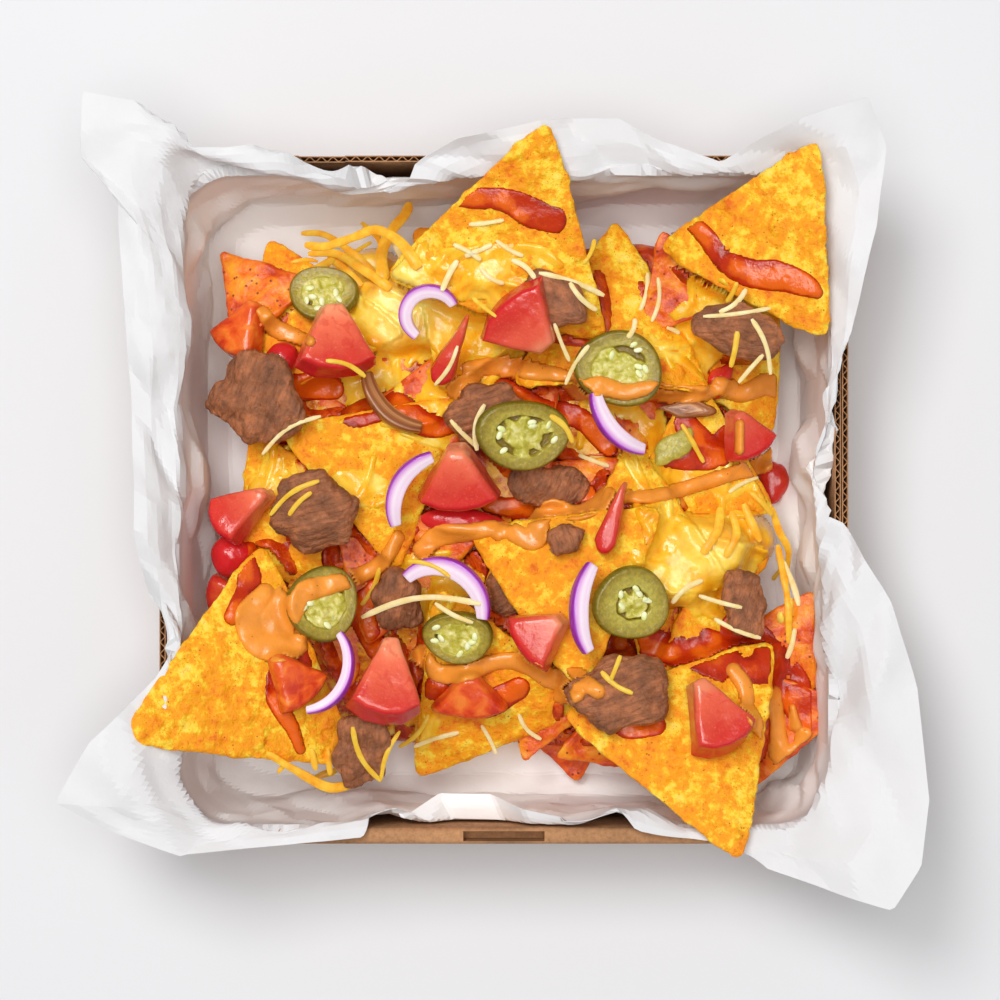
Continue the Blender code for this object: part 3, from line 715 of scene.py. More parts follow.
def paper_column(station, shares):
    """One strip of the paper, from the middle of the floor up the wall and over the rim."""
    edge = clear_the_rim(paper_edge(station))
    keys = []
    for share, height in PAPER_RISE:
        x, y = wall_point(station, PAPER_WALL * share, PAPER_CORNER * share)
        keys.append(Vector((x, y, max(min(height * MM, edge.z * height / PAPER_RISE_TOP), PAPER_FLOOR))))
    x, y = wall_point(station, PAPER_WALL, PAPER_CORNER)
    crest = Vector((x, y, min(PAPER_CREST, edge.z - PAPER_CREST_DROP)))
    lift = Vector((0, 0, PAPER_LIFT * (edge - crest).xy.length))
    keys += [crest, crest.lerp(edge, 0.5) + lift, edge]
    return along_line(keys, shares)


def zigzag(values):
    """Sharp ridges and valleys from -1 to 1, one pair to each whole number."""
    return 4 * np.abs(values - np.floor(values) - 0.5) - 1


def fold_height(across, down):
    """Height of the creases at a place on the flat sheet."""
    flat = np.stack((across, down, np.zeros_like(across)), -1)
    total = np.zeros_like(across)
    for order, (bearing, spacing, height) in enumerate(PAPER_FOLDS):
        line, _ = turned_flat(across, down, bearing)
        wander = wave(flat, 90 * MM, 40 + order) * 0.45
        fade = smooth_step(wave(flat, 40 * MM, 60 + order), -0.45, 0.2)
        total += zigzag(line / (spacing * MM) + wander + order * 0.37) * height * fade
    total += (np.abs(wave(flat, 24 * MM, 81)) - 0.25) * 0.8
    return total * settings().crease / (1.5 * MM)


def make_paper():
    floor_rows = np.linspace(0, PAPER_FLOOR_SHARE, PAPER_ROWS[0], endpoint=False)
    shares = np.concatenate((floor_rows, np.linspace(PAPER_FLOOR_SHARE, 1, PAPER_ROWS[1])))
    stations = np.arange(PAPER_COLUMNS) * 4 / PAPER_COLUMNS
    columns, downs = zip(*(paper_column(station, shares) for station in stations))
    places, down = np.array(columns), np.array(downs)
    across = np.repeat(stations[:, None] / 4 * PAPER_RUN, len(shares), 1)
    # Near the end of its run the pattern turns into the one before its start, so that its two ends meet.
    seam = smooth_step(across, PAPER_RUN * 0.9, PAPER_RUN)
    height = fold_height(across, down) * (1 - seam) + fold_height(across - PAPER_RUN, down) * seam
    run = np.roll(places, -1, 0) - np.roll(places, 1, 0)
    rise = np.gradient(places, axis=1)
    inward = np.cross(rise, run)
    inward /= np.maximum(np.linalg.norm(inward, axis=2, keepdims=True), 1e-12)
    toward = inward if inward[0, 30] @ -places[0, 30] > 0 else -inward
    over = smooth_step(places[..., 2], 42 * MM, 50 * MM)
    walled = smooth_step(places[..., 2], 2.4 * MM, 12 * MM)
    low = np.where(over > 0.5, -CREASE_OUT[1], -CREASE_OUT[0])
    height = np.clip(height, low, CREASE_IN) * (0.2 + 0.8 * walled)
    places = places + toward * (height * MM)[..., None]
    rows = len(shares)
    middle = PAPER_COLUMNS * rows
    pairs = [(start, (start + rows) % middle) for start in range(0, middle, rows)]
    faces = [(a + k, b + k, b + k + 1, a + k + 1) for a, b in pairs for k in range(rows - 1)]
    faces += [(middle, b, a) for a, b in pairs]
    mesh = bpy.data.meshes.new("liner_paper")
    mesh.from_pydata([*places.reshape(-1, 3).tolist(), (0, 0, PAPER_FLOOR)], [], faces)
    paper = add_object("liner_paper", mesh)
    # Marks the paper below the rim, which its material paints lighter as painted light.
    store(mesh, sheltered=1 - smooth_step(points_of(mesh)[:, 2], 36 * MM, 46 * MM))
    with editing():
        bpy.ops.mesh.normals_make_consistent(inside=False)
    flat_floor = min(paper.data.polygons, key=lambda face: face.center.xy.length)
    if flat_floor.normal.z < 0:
        paper.data.flip_normals()
    apply_modifier(paper, "SOLIDIFY", thickness=settings().paper, offset=0)
    return finish_piece(paper, paper_finish(), "paper", "paper_liner", smooth=9)


# ---------------------------------------------------------------- chips

CHIP_COUNT = 17
# The chips from this number on lie open on top, and are made finer.
FINE_CHIP = 12
CHIP_SINK = 0.4 * MM
CHIP_GROWTH = 1.012
CHIP_THICKNESS = 1.8 * MM
CHIP_WARP = 1.3 * MM
CHIP_CURL = 5 * MM
# How sharp an outline's corners are: a triangle's, and a chip's.
TRIANGLE_CORNERS = 60
CHIP_CORNERS = 9
# Chips that only peep out: x, y, z of the middle, tip bearing, side in millimetres, tilt and its bearing.
SPARE_CHIPS = {
    "chip_small_front": (27, -64, 20, 200, 26, 20, 100),
    "chip_creamy_right": (72, -58, 25, 12, 38, 12, 30),
    "chip_coated_right": (74, -38, 27, 60, 30, 12, 40),
    "chip_corner_front": (10, -57, 22, 250, 26, 12, 90),
    "chip_smooth_back": (47, 56, 33, 110, 30, 14, 60),
    "chip_coated_left": (-66, 55, 22, 130, 30, 20, 300),
}
# Chips that the rest lie on, laid as in a ring: count, ring radius, height and side in millimetres.
BURIED_RINGS = ((9, 54, 12, 42), (8, 50, 19, 42), (5, 30, 25, 46))
# How unevenly those lie: share of a step round, share of the radius, tip bearing and tilt.
BED_STEP = (-0.2, 0.2)
BED_REACH = (0.88, 1.06)
BED_TIP = (0, 120)
BED_TILT = (6, 16)
# The first seed of each kind of chip.
SPARE_SEED = 200
BED_SEED = 300


def corn_chip(name, side, seed):
    """A rounded, faintly wavy triangle of corn, lying flat with one tip towards +X."""
    deselect()
    bpy.ops.mesh.primitive_circle_add(vertices=3, radius=side / math.sqrt(3), fill_type="TRIFAN")
    chip = named(name)
    with editing():
        bpy.ops.mesh.subdivide(number_cuts=5)
        bpy.ops.mesh.subdivide(number_cuts=1)
    points = points_of(chip.data)
    reach = np.hypot(points[:, 0], points[:, 1])
    tip = points[np.argmax(reach)]
    bearing = np.arctan2(points[:, 1], points[:, 0]) - math.atan2(tip[1], tip[0])

    def outline(sharpness):
        facing = [np.maximum(0, np.cos(bearing - math.radians(way))) for way in (60, 180, 300)]
        return sum(part ** sharpness for part in facing) ** (-1 / sharpness)

    reach *= outline(CHIP_CORNERS) / outline(TRIANGLE_CORNERS)
    points = np.stack((np.cos(bearing) * reach, np.sin(bearing) * reach, points[:, 2]), 1)
    shift = np.array((seed * 0.13, seed * 0.31, 0))
    points[:, 2] += wave(points + shift, 17 * MM, seed) * CHIP_WARP - (points[:, 1] / side) ** 2 * CHIP_CURL
    set_points(chip.data, points)
    apply_modifier(chip, "SOLIDIFY", thickness=CHIP_THICKNESS, offset=0)
    subdivide(chip, 1)
    return chip


def blister(chip, normal, seed):
    """The uneven, blistered skin of a fried chip, the same on both sides, and a ragged rim."""
    points = points_of(chip.data)
    height = settings().blister
    lift = wave(points, 11 * MM, seed) * 1.1 + wave(points, 4.2 * MM, seed + 1) * 0.8
    points += np.array(normal)[None, :] * (lift * height)[:, None]
    set_points(chip.data, points)
    bubbles = np.maximum(0, wave(points, 3.3 * MM, seed + 2) - 0.1) * 1.5
    pits = -np.maximum(0, wave(points, 1.8 * MM, seed + 3) - 0.25) * 0.9
    grain = wave(points, 1.1 * MM, seed + 4) * 0.3
    normals = normals_of(chip.data)
    set_points(chip.data, points + normals * ((bubbles + pits + grain) * height)[:, None])


def make_chips():
    plain = chip_finish()
    for index in range(1, CHIP_COUNT + 1):
        node = f"chip_{index:02d}"
        chip = copy_of(node, f"corn_{node}")
        subdivide(chip, 4 if index >= FINE_CHIP else 3)
        points = points_of(chip.data)
        middle = points.mean(0)
        _, normal = long_plane(node)
        set_points(chip.data, middle + (points - middle) * CHIP_GROWTH - np.array(normal) * CHIP_SINK)
        blister(chip, normal, index * 7)
        finish_piece(chip, plain, "chip", node, smooth=60)
        CHIPS.append(chip)


def turned(degrees, axis="Z"):
    return Matrix.Rotation(math.radians(degrees), 4, axis)


def place_chip(name, x, y, z, tip, side, tilt, tilt_bearing, seed):
    """A chip that only scene pieces lie on: turned to its tip's bearing,
    then tilted up towards another."""
    chip = corn_chip(name, side * MM, seed)
    lean = turned(tilt_bearing) @ turned(-tilt, "Y") @ turned(-tilt_bearing)
    chip.data.transform(Matrix.Translation(Vector((x, y, z)) * MM) @ lean @ turned(tip))
    blister(chip, lean.to_3x3() @ Vector((0, 0, 1)), seed + 500)
    return chip


def make_under_chips():
    """The chips under the others: those that peep out, and the bed that all lie on."""
    draw = random.Random(31)
    coated = coated_finish()
    for order, (name, sizes) in enumerate(SPARE_CHIPS.items()):
        chip = place_chip(name, *sizes, seed=SPARE_SEED + order)
        finish_piece(chip, coated, "chip", smooth=60)
        CHIPS.append(chip)
    for ring, (count, radius, height, side) in enumerate(BURIED_RINGS):
        for step in range(count):
            bearing = 360 * (step + 0.5 * ring + draw.uniform(*BED_STEP)) / count
            out = radius * draw.uniform(*BED_REACH)
            x = out * math.cos(math.radians(bearing)) - 1
            y = out * math.sin(math.radians(bearing)) - 2
            tip = draw.uniform(*BED_TIP)
            tilt = draw.uniform(*BED_TILT)
            name = f"chip_bed_{ring + 1}_{step + 1:02d}"
            seed = BED_SEED + ring * 20 + step
            chip = place_chip(name, x, y, height, tip, side, -tilt, bearing, seed)
            finish_piece(chip, coated, "heap", smooth=60)
            CHIPS.append(chip)


def coated_finish():
    """A chip that has soaked up orange-red sauce and melted cheese."""
    finish = Finish("coated_chip", 0.32)
    patches = finish.noise(7 * MM, 5, 0.6, 0.5)
    base = finish.ramp(
        patches, (0.34, tuple(colours().sauce)), (0.46, srgb(226, 92, 16)), (0.58, srgb(240, 138, 24)),
        (0.74, srgb(248, 178, 44)),
    )
    specks = finish.ramp(finish.cells(2.4 * MM), (0.1, 1.0), (0.18, 0.0))
    base = finish.mix(specks, base, srgb(130, 36, 10))
    soft_inside(finish, (1.5, 0.6, 0.2), 0.15)
    return finish.done(base, finish.bump(finish.noise(1.8 * MM, 5, 0.6), 0.5 * MM))


# ---------------------------------------------------------------- steak

STEAK_COUNT = 11
# The way the fibres run in each piece, in degrees.
STEAK_GRAIN = (70, 15, 0, 20, 85, 30, 80, 20, 60, 110, 75)
STEAK_CORNERS = 0.17
# A bundle of fibres: its width, and how much shorter it is measured along its length.
BUNDLE = 1.9 * MM
FIBRE_STRETCH = 0.17


def steak_finish():
    finish = Finish("seared_steak", 0.42)
    tone = tuple(colours().steak)
    along_fibres = finish.stretched((0.28, 1.0, 1.0), finish.pattern)
    fibre = finish.noise(0.1, 5, 0.65, 0.4, source=along_fibres)
    clouds = finish.noise(5 * MM, 5, 0.6)
    base = finish.ramp(clouds, (0.32, tint(tone, 0.75)), (0.5, tint(tone, 1.15)), (0.66, tint(tone, 1.8)))
    lines = finish.ramp(fibre, (0.34, 0.72), (0.5, 0.96), (0.66, 1.0))
    base = finish.dark(base, lines)
    # Painted shade: the seams between the fibre bundles, where the surface sinks, are darkened.
    seams = finish.ramp(finish.attribute("bundle"), (0.05, 0.6), (0.35, 0.9), (0.7, 1.0))
    base = finish.dark(base, seams)
    juice = finish.ramp(finish.noise(2.6 * MM, 5, 0.7), (0.55, 0.0), (0.7, 0.55))
    base = finish.mix(juice, base, srgb(128, 72, 40))
    relief = finish.plus(fibre, finish.noise(0.8 * MM, 4, 0.7), 0.6)
    soft_inside(finish, (1.0, 0.35, 0.2), 0.08)
    gloss = finish.ramp(finish.noise(2 * MM, 4), (0.4, 0.3), (0.6, 0.62))
    return finish.done(base, finish.bump(relief, 0.7 * MM), gloss)


def tear(steak, x, y, bearing, corners, seed):
    """Gives a smooth lump of steak its torn, cornered outline and its bundles of fibres."""
    points = points_of(steak.data)
    around = np.arctan2(points[:, 1] - y, points[:, 0] - x)
    outline = STEAK_CORNERS * cornered(around, corners, seed * 0.37)
    points[:, :2] += (points[:, :2] - (x, y)) * outline[:, None]
    set_points(steak.data, points)
    along, across = turned_flat(points[:, 0], points[:, 1], bearing)
    fibres = np.stack((along * FIBRE_STRETCH, across, points[:, 2] * 0.8), 1)
    bundle = clumps(fibres + wave(points, 4 * MM, seed)[:, None] * 0.4 * MM, BUNDLE, seed)
    grain = settings().steak_grain
    lift = (clumps(points, 10 * MM, seed + 5) - 0.7) * 1.7 + (bundle - 0.75) * 0.9
    lift += wave(points, 4 * MM, seed + 20) * 1.3 + wave(fibres, 0.8 * MM, seed + 40) * 0.5
    set_points(steak.data, points + normals_of(steak.data) * (lift * grain)[:, None])
    # The bundle mark also darkens the sunken seams in the material: painted shade.
    store(steak.data, bundle=bundle)
    lay_uv(steak.data, np.stack((along, across), 1))


def make_steaks():
    finish = steak_finish()
    for index in range(1, STEAK_COUNT + 1):
        node = f"steak_{index:02d}"
        steak = copy_of(node, f"seared_{node}")
        subdivide(steak, 1)
        apply_modifier(steak, "REMESH", mode="VOXEL", voxel_size=FOOD_VOXEL)
        apply_modifier(steak, "SMOOTH", factor=0.5, iterations=6)
        middle, _ = long_plane(node)
        tear(steak, middle.x, middle.y, STEAK_GRAIN[index - 1], 4 + index % 3, index)
        finish_piece(steak, finish, "steak", node, smooth=70)
        TOPPINGS.append(steak)


# ---------------------------------------------------------------- tomatoes

# Each wedge: x, y, bearing of its point, length, width and thickness in millimetres, how red it is,
# how much sauce has coloured it and how often its edges are rubbed round.
TOMATOES = {
    "tomato_01": (-44, 41, 94, 20, 23, 9, 0.0, 0, 7), "tomato_02": (5, 46, -45, 18, 25, 9, 0.7, 0, 7),
    "tomato_03": (-14, 38, 65, 22, 7, 5, 0.9, 0.1, 7), "tomato_04": (-12, 5, 93, 18, 23, 9, 0.35, 0, 7),
    "tomato_05": (-70, -3, 30, 19, 15, 8, 0.3, 0, 7), "tomato_06": (-74, -25, 0, 12, 12, 9, 0.9, 0.3, 26),
    "tomato_07": (-30, -47, 85, 23, 20, 9, 0.1, 0, 7), "tomato_08": (9, -35, 35, 15, 18, 8, 0.25, 0, 7),
    "tomato_09": (54, -56, 115, 21, 19, 10, 0.5, 0, 7),
    "tomato_10": (-9, -52, 90, 13, 22, 6, 0.4, 0.8, 16),
    "tomato_11": (64, 17, 120, 14, 15, 8, 0.8, 0, 7), "tomato_12": (28, -6, 72, 21, 6.5, 5, 1.0, 0, 7),
    "tomato_13": (-54, -47, 130, 16, 17, 6, 0.3, 0.95, 20),
    "tomato_14": (-70, 45, 60, 17, 16, 8, 0.3, 0.9, 16),
}


def tomato_finish():
    finish = Finish("tomato", 0.2)
    flesh = tuple(colours().tomato)
    skin = tuple(colours().tomato_skin)
    toward_tip = finish.attribute("toward_tip")
    redness = finish.attribute("redness")
    base = finish.ramp(
        toward_tip, (0.0, srgb(218, 48, 44)), (0.3, flesh), (0.7, srgb(240, 116, 82)),
        (1.0, srgb(247, 170, 122)),
    )
    deep = finish.mix(0.6, base, srgb(200, 24, 26))
    base = finish.mix(redness, base, deep)
    speckle = finish.ramp(finish.noise(0.7 * MM, 4, 0.7), (0.55, 0.0), (0.72, 0.22))
    base = finish.mix(speckle, base, srgb(248, 160, 124))
    veins = finish.ramp(finish.noise(4 * MM, 3, 0.5, 1.2), (0.56, 0.0), (0.66, 0.4))
    base = finish.mix(veins, base, srgb(206, 40, 34))
    sauced = finish.ramp(
        finish.noise(5 * MM, 4, 0.55, 0.6), (0.34, srgb(196, 48, 12)), (0.5, srgb(226, 88, 22)),
        (0.68, srgb(240, 136, 46)),
    )
    base = finish.mix(finish.attribute("sauced"), base, sauced)
    base = finish.mix(finish.attribute("skin"), base, skin)
    soft_inside(finish, (2.0, 0.5, 0.3), 0.25)
    relief = finish.noise(2.2 * MM, 4, 0.55)
    return finish.done(base, finish.bump(relief, 0.2 * MM))


def make_tomatoes():
    finish = tomato_finish()
    for order, (node, (x, y, bearing, long, _, _, red, sauced, rubbed)) in enumerate(TOMATOES.items()):
        tomato = copy_of(node, f"diced_{node}")
        apply_modifier(tomato, "REMESH", mode="VOXEL", voxel_size=FOOD_VOXEL)
        apply_modifier(tomato, "SMOOTH", factor=0.5, iterations=rubbed)
        swell(tomato, ((7 * MM, 0.5 * MM), (2.6 * MM, 0.12 * MM)), order + 3)
        points = points_of(tomato.data)
        normals = normals_of(tomato.data)
        along = turned_flat(points[:, 0] - x * MM, points[:, 1] - y * MM, bearing)[0] / (long * MM)
        facing = -turned_flat(normals[:, 0], normals[:, 1], bearing)[0]
        wobble = wave(points, 3 * MM, order) * 0.05
        skin = smooth_step(facing + wobble, 0.32, 0.52) * smooth_step(-along, 0.0, 0.15) * (1 - sauced)
        toward_tip = np.clip(along + 0.45 + wobble * 2, 0, 1)
        store(tomato.data, toward_tip=toward_tip, skin=skin, sauced=sauced, redness=red)
        finish_piece(tomato, finish, "tomato", node, smooth=60)
        TOPPINGS.append(tomato)


# ---------------------------------------------------------------- pepper slices

# Each slice: bearing, length, width, reach of its hollow, and how much of the hollow the pith fills.
PEPPERS = {
    "pepper_01": (-10, 19, 15, 0.6, 1.1), "pepper_02": (-20, 23, 20, 0.68, 1.1),
    "pepper_03": (-5, 25, 19, 0.62, 1.12), "pepper_04": (80, 20, 19, 0.64, 1.0),
    "pepper_05": (0, 19, 14, 0.66, 1.05), "pepper_06": (-15, 21, 19, 0.48, 0.92),
}
PEPPER_HALF = 2.0 * MM
# Heights in a slice's hollow: its bottom, and how far the pith and the seeds lie below the slice's top.
HOLLOW_BOTTOM = 0.35 * MM
PITH_DROP = 0.55 * MM
PIP_DROP = 0.4 * MM
PIPS = 7
PIP_RADIUS = 1.25 * MM
PIP_SHAPE = (1.0, 0.62, 0.36, 1)


def pepper_finish():
    finish = Finish("pickled_pepper", 0.22)
    wall = tuple(colours().pepper)
    ring = finish.attribute("ring")
    base = finish.ramp(
        ring, (0.5, srgb(186, 172, 70)), (0.72, srgb(172, 154, 54)), (0.9, wall),
        (0.985, srgb(112, 106, 26)),
    )
    flecks = finish.ramp(finish.noise(1.2 * MM, 5, 0.65), (0.42, 0.82), (0.62, 1.12))
    base = finish.dark(base, flecks)
    pith = finish.ramp(
        finish.noise(2.2 * MM, 5, 0.6, 0.6), (0.36, srgb(170, 160, 44)), (0.5, srgb(198, 188, 76)),
        (0.68, srgb(228, 220, 148)),
    )
    base = finish.mix(finish.attribute("pith"), base, pith)
    # Painted shade: the thin floor across the empty hollow between pith and wall is darker, standing in for
    # the shade in the hole.
    base = finish.mix(finish.attribute("hollow"), base, srgb(128, 104, 26))
    soft_inside(finish, (1.2, 1.2, 0.4), 0.3)
    return finish.done(base, finish.bump(finish.noise(1.0 * MM, 5, 0.6), 0.25 * MM))


def seed_finish():
    finish = Finish("pepper_seed", 0.25)
    base = finish.ramp(finish.noise(1.5 * MM, 3), (0.35, srgb(224, 232, 150)), (0.65, srgb(246, 248, 208)))
    soft_inside(finish, (1, 1, 0.5), 0.3)
    return finish.done(base)


def pepper_slice(name, long, width, hollow, filled, seed):
    """A slice across a pepper, flat at the origin, with the pith and seeds in its hollow.

    It is a sphere pressed to a disc: ring is 0 at the middle of each side and 1 at the outer edge.
    """
    deselect()
    bpy.ops.mesh.primitive_uv_sphere_add(segments=112, ring_count=90, radius=1)
    slice_ = named(name)
    points = points_of(slice_.data)
    around = np.arctan2(points[:, 1], points[:, 0])
    cos, sin = np.cos(around), np.sin(around)
    down = np.arccos(np.clip(points[:, 2], -1, 1))
    ring = np.where(down < math.pi / 2, down, math.pi - down) / (math.pi / 2)
    side = np.where(points[:, 2] >= 0, 1.0, -1.0)
    lobes = 1 + 0.035 * np.cos(3 * around + seed) + 0.02 * np.cos(2 * around - seed * 1.7)
    circle = np.stack((cos, sin, np.full_like(around, seed * 0.37)), 1)
    edge = hollow * (1 + 0.1 * wave(circle * 1.6, 1, seed) + 0.07 * wave(circle * 3.1, 1, seed + 1))
    pith_edge = edge * filled * (1 - 0.34 * smooth_step(wave(circle * 1.9, 1, seed + 2), 0.12, 0.5))
    at = np.stack((cos * ring * long / 2, sin * ring * width / 2, side * 0.02), 1)
    rim = np.sqrt(np.clip(1 - (np.clip(ring - 0.9, 0, 1) / 0.1) ** 2, 0, 1))
    height = PEPPER_HALF * rim * (1 - 0.1 * smooth_step(ring, 0.95, 0.7))
    height += wave(at, 2.6 * MM, seed + 3) * 0.16 * MM * (ring < 0.9)
    in_hollow = smooth_step(edge - ring, 0.0, 0.05)
    in_pith = smooth_step(pith_edge - ring, 0.0, 0.06)
    lumps = wave(at, 2.0 * MM, seed + 4) * 0.5 * MM + wave(at, 0.9 * MM, seed + 5) * 0.2 * MM
    pith_height = PEPPER_HALF - PITH_DROP + lumps
    inside = HOLLOW_BOTTOM * (1 - in_pith) + pith_height * in_pith
    height = height * (1 - in_hollow) + inside * in_hollow
    reach = ring * lobes
    set_points(slice_.data, np.stack((cos * reach * long / 2, sin * reach * width / 2, side * height), 1))
    # hollow marks the floor across the empty hollow, which the material darkens as painted shade.
    store(slice_.data, ring=ring, pith=in_hollow * in_pith, hollow=in_hollow * (1 - in_pith))
    return slice_, pepper_seeds(name + "_seeds", long, width, hollow, seed)


def pepper_seeds(name, long, width, hollow, seed):
    """Flat seeds that lie on the pith, all in one piece."""
    draw = random.Random(seed)
    seeds = []
    for _ in range(PIPS):
        bearing = draw.uniform(0, 2 * math.pi)
        out = draw.uniform(0.25, 0.55) * hollow
        deselect()
        bpy.ops.mesh.primitive_ico_sphere_add(subdivisions=3, radius=PIP_RADIUS)
        pip = named("pip")
        turn = Matrix.Rotation(draw.uniform(0, 6.3), 4, "Z")
        turn = turn @ Matrix.Rotation(draw.uniform(-0.5, 0.5), 4, "X")
        x, y = math.cos(bearing) * out * long, math.sin(bearing) * out * width
        place = Matrix.Translation((x, y, PEPPER_HALF - PIP_DROP))
        pip.data.transform(place @ turn @ Matrix.Diagonal(PIP_SHAPE))
        seeds.append(pip)
    return join(seeds, name)


def make_peppers():
    finish, pale = pepper_finish(), seed_finish()
    for order, (node, (bearing, long, width, hollow, filled)) in enumerate(PEPPERS.items()):
        slice_, pips = pepper_slice(f"pickled_{node}", long * MM, width * MM, hollow, filled, 5 + order * 3)
        place = seat(node, bearing)
        for thing in (slice_, pips):
            thing.data.transform(place)
        finish_piece(slice_, finish, "pepper", node, smooth=60)
        finish_piece(pips, pale, "pepper")
        TOPPINGS.extend((slice_, pips))


# ---------------------------------------------------------------- onion and cooked strips

# Each strip: x and y of its circle's middle, radius, first and last bearing, width and height, the
# lengths in millimetres.
STRIPS = {
    "onion_01": (-19, 48, 6.6, 30, 232, 3.8, 3.0), "onion_02": (38, 28, 15, 185, 262, 4.6, 3.2),
    "onion_03": (-14, -2, 14.9, 110, 195, 4.6, 3.0), "onion_04": (-17, -29, 12, -4, 134, 5.0, 3.0),
    "onion_05": (38, -29, 20, 145, 210, 4.5, 4.0), "onion_06": (-51, -42, 12, -82, 36, 3.0, 3.2),
    "cooked_strip_01": (-21, 34, 15.5, 187, 265, 4.5, 3.0),
}


# The bar that a strip is bent from is 1 long: half the length of its straight middle, where its first
# and last cuts are, how many cuts, and how far the rounded ends stand out past the bearings.
BAR_MIDDLE = 0.3
BAR_CUTS = (0.28, 55)
STRIP_END = 0.7 * MM
STRIP_TAPER = 0.6


def onion_finish():
    finish = Finish("red_onion", 0.25)
    skin = tuple(colours().onion_skin)
    side = finish.attribute("outward")
    flesh = finish.ramp(
        side, (0.0, srgb(240, 216, 232)), (0.55, srgb(246, 232, 242)), (0.8, srgb(232, 190, 226)),
        (0.92, srgb(190, 104, 204)),
    )
    streaks = finish.noise(0.12, 4, 0.6, source=finish.stretched((0.15, 1, 1), finish.pattern))
    flesh = finish.mix(finish.ramp(streaks, (0.45, 0.0), (0.7, 0.4)), flesh, srgb(226, 188, 220))
    outer = finish.mix(finish.ramp(streaks, (0.4, 0.0), (0.6, 0.45)), skin, srgb(196, 96, 210))
    base = finish.mix(finish.attribute("skin"), flesh, outer)
    soft_inside(finish, (1.2, 0.7, 1.0), 0.3)
    return finish.done(base, finish.bump(streaks, 0.15 * MM))


def brown_finish():
    finish = Finish("cooked_onion", 0.25)
    streaks = finish.noise(0.15, 4, 0.6, source=finish.stretched((0.2, 1, 1), finish.pattern))
    base = finish.ramp(
        streaks, (0.35, srgb(112, 56, 22)), (0.5, srgb(158, 96, 50)), (0.66, srgb(206, 152, 98)),
    )
    soft_inside(finish, (1.2, 0.5, 0.3), 0.2)
    return finish.done(base, finish.bump(streaks, 0.3 * MM))


def strip_mesh(name, radius, first, last, width, height, seed):
    """A strip cut from a ring, flat at the origin: a bar bent round, thinner towards its ends."""
    deselect()
    bpy.ops.mesh.primitive_cube_add(size=1)
    strip = named(name)
    with editing():
        bpy.ops.mesh.bevel(offset=0.5 - BAR_MIDDLE, segments=3, affect="EDGES")
        bpy.ops.mesh.select_all(action="SELECT")
        for at in np.linspace(-BAR_CUTS[0], BAR_CUTS[0], BAR_CUTS[1]):
            bpy.ops.mesh.bisect(plane_co=(at, 0, 0), plane_no=(1, 0, 0))
            bpy.ops.mesh.select_all(action="SELECT")
    points = points_of(strip.data)
    middle = np.abs(points[:, 0]) <= BAR_MIDDLE
    share = (points[:, 0] + BAR_MIDDLE) / (2 * BAR_MIDDLE) * 0.97 + 0.015
    share = np.where(middle, share, np.where(points[:, 0] < 0, 0.0, 1.0))
    ends = np.clip((np.abs(points[:, 0]) - BAR_MIDDLE) / (0.5 - BAR_MIDDLE), 0, 1)
    angle = np.radians(first + (last - first) * share)
    overhang = ends * STRIP_END * np.sign(points[:, 0])
    swollen = np.sqrt(np.maximum(0, np.sin(np.pi * np.clip(share, 0.02, 0.98))))
    taper = STRIP_TAPER + (1 - STRIP_TAPER) * swollen
    out = radius + points[:, 1] * width * taper
    places = np.stack((
        np.cos(angle) * out - np.sin(angle) * overhang,
        np.sin(angle) * out + np.cos(angle) * overhang,
        points[:, 2] * height * taper,
    ), 1)
    places[:, 2] += wave(places, 8 * MM, seed) * 0.6 * MM
    set_points(strip.data, places)
    outward = np.clip(points[:, 1] + 0.5, 0, 1)
    store(strip.data, outward=outward, skin=smooth_step(outward, 0.86, 0.95))
    lay_uv(strip.data, np.stack((angle * radius, out), 1))
    subdivide(strip, 1)
    return strip


def make_strips():
    onion, brown = onion_finish(), brown_finish()
    for order, (node, (x, y, radius, first, last, width, height)) in enumerate(STRIPS.items()):
        raw = node.startswith("onion")
        name = f"red_{node}" if raw else node.replace("cooked", "browned")
        finish, slot = (onion, "onion") if raw else (brown, "cooked_strip")
        strip = strip_mesh(name, radius * MM, first, last, width * MM, height * MM, order)
        strip.data.transform(seat(node, 0, x * MM, y * MM))
        finish_piece(strip, finish, slot, node, smooth=50)
        TOPPINGS.append(strip)


# ---------------------------------------------------------------- what is melted and poured

# The grid of heights: its squares, how far it reaches, its height beside the food, and one above it all.
CELL = 0.5 * MM
FIELD_HALF = 100 * MM
BARE = 2.3 * MM
ABOVE = 0.2
# A poured layer: how far it goes down into what it lies on, how thick its body is, and how far round
# its body and its dry bumps it is kept.
UNDER = -0.9 * MM
SUNK = 1.0 * MM
BODY_DEPTH = 0.3 * MM
ROUND_BODY = 2.5 * MM
ROUND_BUMPS = 1.5 * MM
# How far out it may lie inside the paper: above the first of these heights, and below it.
INSIDE_LOW = 14 * MM
INSIDE_WALL = 82 * MM
INSIDE_FLOOR = 74 * MM
# Half the width from which a bead is flatter.
FULL_BEAD = 2.2 * MM
# The depth where nothing is poured.
NOWHERE = -5 * MM


